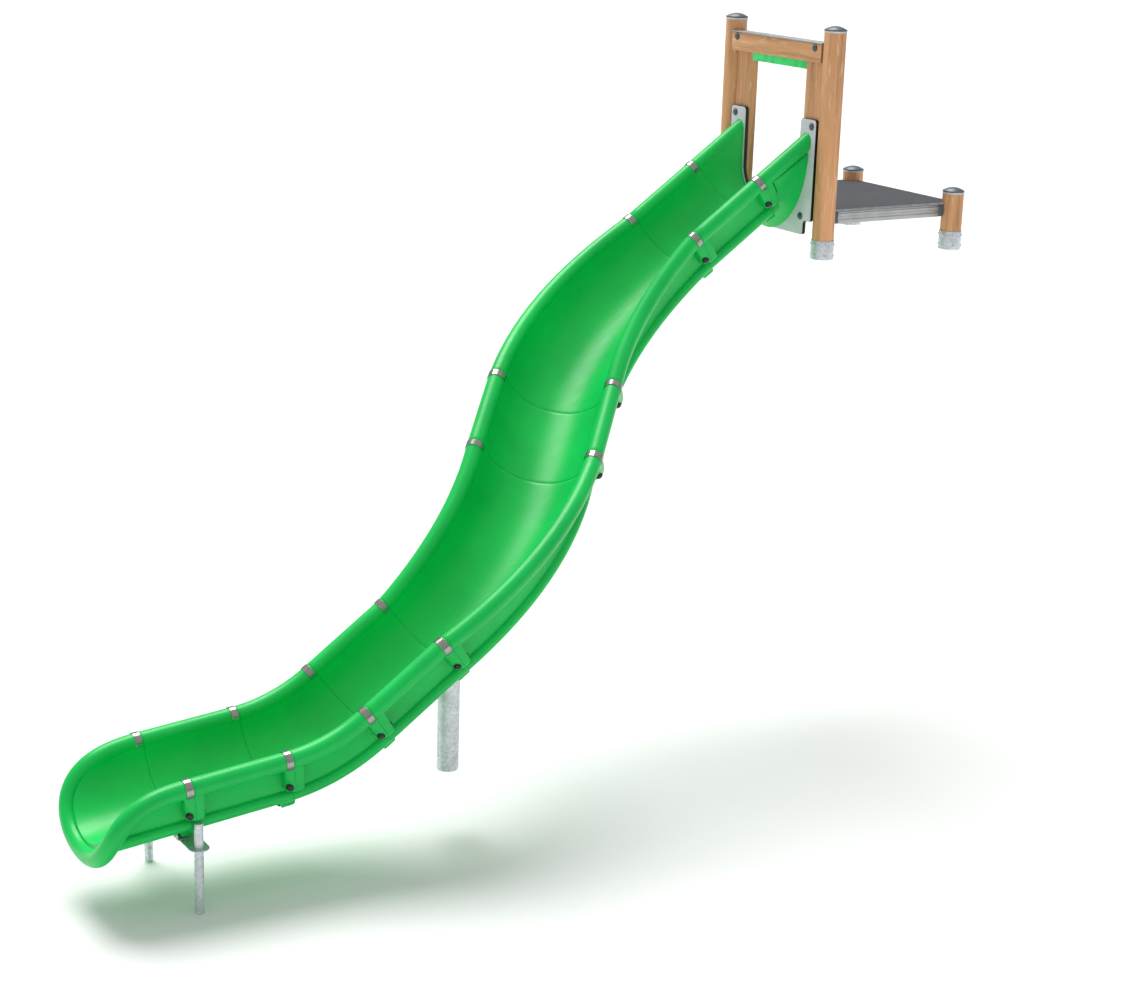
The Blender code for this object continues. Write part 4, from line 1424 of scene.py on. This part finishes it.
def build_start_panel():
    axes = ((1, 0, 0), (0, 0, 1), (0, 1, 0))
    place = (CHUTE_X, 0, 0)
    mesh = extruded(panel_outline(), PANEL_FRONT, PANEL_BACK, axes, place, 0.0014)
    for polygon in mesh.polygons:
        polygon.material_index = int(abs(polygon.normal.y) < 0.95)
    piece("start_panel_sheet", mesh, [LAMINATE, LAMINATE_CORE], "grey_panel", "start_panel")


# Deck


def frame_rail_outline(width, height, outward):
    """Section of a deck frame rail with two shallow grooves in its outer face, as (across, up)."""
    groove, step = 0.0035, 0.0035
    half_w, half_h = width / 2, height / 2
    face = [
        (half_w, -half_h),
        (half_w, -half_h * 0.30 - step),
        (half_w - groove, -half_h * 0.30),
        (half_w - groove, half_h * 0.10),
        (half_w, half_h * 0.10 + step),
        (half_w, half_h * 0.62),
        (half_w - groove, half_h * 0.62 + step),
        (half_w - groove, half_h * 0.86),
        (half_w, half_h * 0.86 + step),
        (half_w, half_h),
    ]
    outline = face + [(-half_w, half_h), (-half_w, -half_h)]
    return [(outward * x, z) for x, z in outline]


def build_deck():
    for node, outward, along in (
        ("deck_near_rail", 1, 1),
        ("deck_far_rail", -1, 1),
        ("deck_front_rail", -1, 0),
        ("deck_back_rail", 1, 0),
    ):
        low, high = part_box(node)
        centre, size = (low + high) / 2, high - low
        across = 1 - along
        outline = frame_rail_outline(size[across], size.z, outward)
        axis_a = Vector((1, 0, 0)) if across == 0 else Vector((0, 1, 0))
        axis_l = Vector((0, 1, 0)) if along == 1 else Vector((1, 0, 0))
        axes = (axis_a, (0, 0, 1), axis_l)
        half = size[along] / 2
        mesh = extruded(outline, -half, half, axes, centre, 0.0008)
        piece(f"{node}_profile", mesh, [ALUMINIUM], "aluminium", node)
    for side in ("near", "far"):
        for end in ("front", "back"):
            node = f"deck_{side}_{end}_end_cap"
            mesh = rounded_box(*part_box(node), 0.005)
            piece(f"{node}_moulding", mesh, [CAP_PLASTIC], "dark_cap_plastic", node)
    low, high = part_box("deck_panel")
    mesh = rounded_box(low, high, 0.0022)
    axes = ((1, 0, 0), (0, 1, 0), (0, 0, 1))
    for word in ("near_tall", "far_tall", "near_short", "far_short"):
        centre = middle_of(f"{word}_post")
        outline = arc((centre.x, centre.y), 0.068, 0, 360 - 360 / 72, 71)
        cutter = extruded(outline, low.z - 0.05, high.z + 0.05, axes)
        mesh = combined(mesh, cutter, "DIFFERENCE")
    for polygon in mesh.polygons:
        polygon.material_index = int(abs(polygon.normal.z) < 0.7)
    piece("deck_board", mesh, [DECK_FACE, DECK_EDGE], "deck_laminate", "deck_panel")


# Supports


def build_supports():
    for word in ("near", "far"):
        node = f"{word}_run_out_leg"
        low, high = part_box(node)
        centre, outer = (low + high) / 2, (high.x - low.x) / 2
        tall = high.z - low.z
        wall = 0.003
        tube = [
            (outer - wall, 0.0),
            (outer - 0.0006, 0.0),
            (outer, 0.0006),
            (outer, tall - 0.001),
            (outer - 0.001, tall),
            (0, tall),
            (0, tall - wall),
            (outer - wall, tall - wall),
        ]
        mesh = turned(tube, (centre.x, centre.y, low.z), 64)
        piece(f"{node}_tube", mesh, [GALVANISED], "galvanised_steel", node)
        node = f"{word}_lug_bracket"
        low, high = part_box(node)
        thick = 0.005
        outline = [
            (high.y, low.z),
            (high.y, low.z + thick),
            (low.y + thick + 0.003, low.z + thick),
            (low.y + thick, low.z + thick + 0.003),
            (low.y + thick, high.z),
            (low.y, high.z),
            (low.y, low.z + 0.004),
            (low.y + 0.004, low.z),
        ]
        mesh = extruded(outline, low.x, high.x, ((0, 1, 0), (0, 0, 1), (1, 0, 0)), (0, 0, 0), 0.0008)
        piece(f"{node}_angle", mesh, [GALVANISED], "galvanised_steel", node)
    low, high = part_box("run_out_cross_plate")
    centre = (low + high) / 2
    half_width = (high.y - low.y) / 2
    leg = middle_of("near_run_out_leg")
    reach = leg.x - centre.x
    near_end = arc((reach, 0), half_width, 90, -90, 40)
    outline = near_end + [(-x, y) for x, y in reversed(near_end)]
    axes = ((1, 0, 0), (0, 1, 0), (0, 0, 1))
    mesh = extruded(outline, low.z, high.z, axes, (centre.x, centre.y, 0), 0.0008)
    for side in (-1, 1):
        hole = arc((side * reach, 0), 0.0235, 0, 360 - 360 / 64, 63)
        cutter = extruded(hole, low.z - 0.02, high.z + 0.02, axes, (centre.x, centre.y, 0))
        mesh = combined(mesh, cutter, "DIFFERENCE")
    piece("run_out_cross_plate_sheet", mesh, [GALVANISED], "galvanised_steel", "run_out_cross_plate")


def build_mid_support():
    """The mid support post, cut to the slope, and the saddle plate on it with two hold-down bolts."""
    low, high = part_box("mid_support_post")
    centre, radius = (low + high) / 2, (high.x - low.x) / 2
    joint = joint_distances()[4]
    matrix = chute_frame(joint - SADDLE_SETBACK / math.cos(SLOPE))
    top, under = -SADDLE_DEPTH, -SADDLE_DEPTH - SADDLE_THICKNESS
    inside = radius - MID_SUPPORT_WALL
    profile = [(inside, 0), (radius - 0.0008, 0), (radius, 0.0008), (radius, 1.2), (inside, 1.2)]
    mesh = turned(profile, (centre.x, centre.y, low.z), 96)
    above = rounded_box((-0.5, -0.5, under - 0.0003), (0.5, 0.5, 1.0), 0)
    above.transform(matrix)
    mesh = combined(mesh, above, "DIFFERENCE")
    piece("mid_support_tube", mesh, [GALVANISED], "galvanised_steel", "mid_support_post")
    across, along = SADDLE_HALF
    saddle = rounded_box((-across, -along, under), (across, along, top), 0.002)
    saddle.transform(matrix)
    piece("mid_support_saddle_plate", saddle, [GALVANISED], "galvanised_steel", "mid_support_saddle")
    down = -matrix.col[2].to_3d()
    places = [
        (matrix @ Vector((side * SADDLE_BOLT[0], end * SADDLE_BOLT[1], under)), down)
        for side in (-1, 1)
        for end in (-1, 1)
    ]
    sizes = (0.012, 0.002, 0.009, 0.007)
    fasteners("mid_support_bolts", places, sizes, GALVANISED, "galvanised_steel")


# Stage


def look_towards(obj, place, target):
    obj.location = place
    obj.rotation_euler = (Vector(target) - Vector(place)).to_track_quat("-Z", "Y").to_euler()


def build_stage():
    scene = bpy.context.scene
    settings = scene.slide_stage
    bm = bmesh.new()
    bmesh.ops.create_grid(bm, x_segments=1, y_segments=1, size=FLOOR_HALF_SIZE)
    bmesh.ops.translate(bm, vec=(0, 0, LOWER_GROUND), verts=bm.verts)
    floor = bpy.data.objects.new("studio_floor", mesh_from(bm, "studio_floor"))
    scene.collection.objects.link(floor)
    floor.data.materials.append(finish(FLOOR_PAPER))

    camera = bpy.data.objects.new("camera", bpy.data.cameras.new("camera"))
    scene.collection.objects.link(camera)
    camera.data.lens = settings.lens
    camera.data.sensor_width = 36.0
    turn = Matrix.Rotation(settings.camera_pan, 4, "Z")
    tilt = Matrix.Rotation(math.pi / 2 - settings.camera_tilt, 4, "X")
    roll = Matrix.Rotation(settings.camera_roll, 4, "Z")
    camera.matrix_world = Matrix.Translation(settings.camera_place) @ turn @ tilt @ roll
    scene.camera = camera

    key = bpy.data.objects.new("key_light", bpy.data.lights.new("key_light", "SUN"))
    scene.collection.objects.link(key)
    key.data.energy = settings.key_strength
    key.data.angle = settings.key_softness
    look_towards(key, KEY_DIRECTION, (0, 0, 0))

    world = bpy.data.worlds.new("plain_surroundings")
    world.use_nodes = True
    tree = world.node_tree
    direction = add_node(tree, "ShaderNodeTexCoord", output="Generated")
    height = add_node(tree, "ShaderNodeSeparateXYZ", {"Vector": direction}, "Z")
    stops = [(0.0, "#C8CCD0"), (0.25, "#E4E7EA"), (0.65, "#FFFFFF")]
    glow = add_node(tree, "ShaderNodeValToRGB", {"Fac": height}, stops=stops)
    background = tree.nodes["Background"]
    tree.links.new(glow, background.inputs["Color"])
    background.inputs["Strength"].default_value = settings.sky_strength
    scene.world = world
    scene.view_settings.view_transform = "Standard"


# Operators and panel


class SLIDE_OT_chute(bpy.types.Operator):
    """Build the nine moulded chute sections"""

    bl_idname = "slide.chute"
    bl_label = "Chute sections"

    def execute(self, context):
        build_chute()
        return {"FINISHED"}


class SLIDE_OT_clips(bpy.types.Operator):
    """Build the stainless bands over the rails"""

    bl_idname = "slide.clips"
    bl_label = "Rail clips"

    def execute(self, context):
        build_clips()
        return {"FINISHED"}


class SLIDE_OT_posts(bpy.types.Operator):
    """Build the four round posts with their feet and caps"""

    bl_idname = "slide.posts"
    bl_label = "Posts"

    def execute(self, context):
        build_posts()
        return {"FINISHED"}


class SLIDE_OT_top_frame(bpy.types.Operator):
    """Build the uprights, the top beam, its capping and the green infill"""

    bl_idname = "slide.top_frame"
    bl_label = "Top frame"

    def execute(self, context):
        build_top_frame()
        return {"FINISHED"}


class SLIDE_OT_start_panel(bpy.types.Operator):
    """Build the U-shaped start panel"""

    bl_idname = "slide.start_panel"
    bl_label = "Start panel"

    def execute(self, context):
        build_start_panel()
        return {"FINISHED"}


class SLIDE_OT_deck(bpy.types.Operator):
    """Build the deck board and its aluminium frame"""

    bl_idname = "slide.deck"
    bl_label = "Deck"

    def execute(self, context):
        build_deck()
        return {"FINISHED"}


class SLIDE_OT_supports(bpy.types.Operator):
    """Build the run-out legs, their cross plate and the mid support"""

    bl_idname = "slide.supports"
    bl_label = "Supports"

    def execute(self, context):
        build_supports()
        build_mid_support()
        return {"FINISHED"}


class SLIDE_OT_fasteners(bpy.types.Operator):
    """Build the bolts and screws with geometry nodes"""

    bl_idname = "slide.fasteners"
    bl_label = "Fasteners"

    def execute(self, context):
        build_fasteners()
        return {"FINISHED"}


class SLIDE_OT_stage(bpy.types.Operator):
    """Build the floor, the lights and the camera"""

    bl_idname = "slide.stage"
    bl_label = "Stage"

    def execute(self, context):
        build_stage()
        return {"FINISHED"}


OPERATORS = (
    SLIDE_OT_chute,
    SLIDE_OT_clips,
    SLIDE_OT_posts,
    SLIDE_OT_top_frame,
    SLIDE_OT_start_panel,
    SLIDE_OT_deck,
    SLIDE_OT_supports,
    SLIDE_OT_fasteners,
    SLIDE_OT_stage,
)


class SLIDE_PT_panel(bpy.types.Panel):
    """Lists the slide's operators and settings"""

    bl_label = "Wave slide"
    bl_idname = "SLIDE_PT_panel"
    bl_space_type = "VIEW_3D"
    bl_region_type = "UI"
    bl_category = "Wave slide"

    def draw(self, context):
        for operator in OPERATORS:
            self.layout.operator(operator.bl_idname)
        for name, group in SETTINGS.items():
            box = self.layout.box()
            for key in group.__annotations__:
                box.prop(getattr(context.scene, name), key)


def register():
    for cls in (*SETTINGS.values(), *OPERATORS, SLIDE_PT_panel):
        bpy.utils.register_class(cls)
    for name, group in SETTINGS.items():
        setattr(bpy.types.Scene, name, bpy.props.PointerProperty(type=group))


def unregister():
    for name in SETTINGS:
        delattr(bpy.types.Scene, name)
    for cls in (SLIDE_PT_panel, *reversed(OPERATORS), *reversed(list(SETTINGS.values()))):
        bpy.utils.unregister_class(cls)


def main():
    register()
    for operator in OPERATORS:
        group, name = operator.bl_idname.split(".")
        getattr(getattr(bpy.ops, group), name)()


if __name__ == "__main__":
    main()
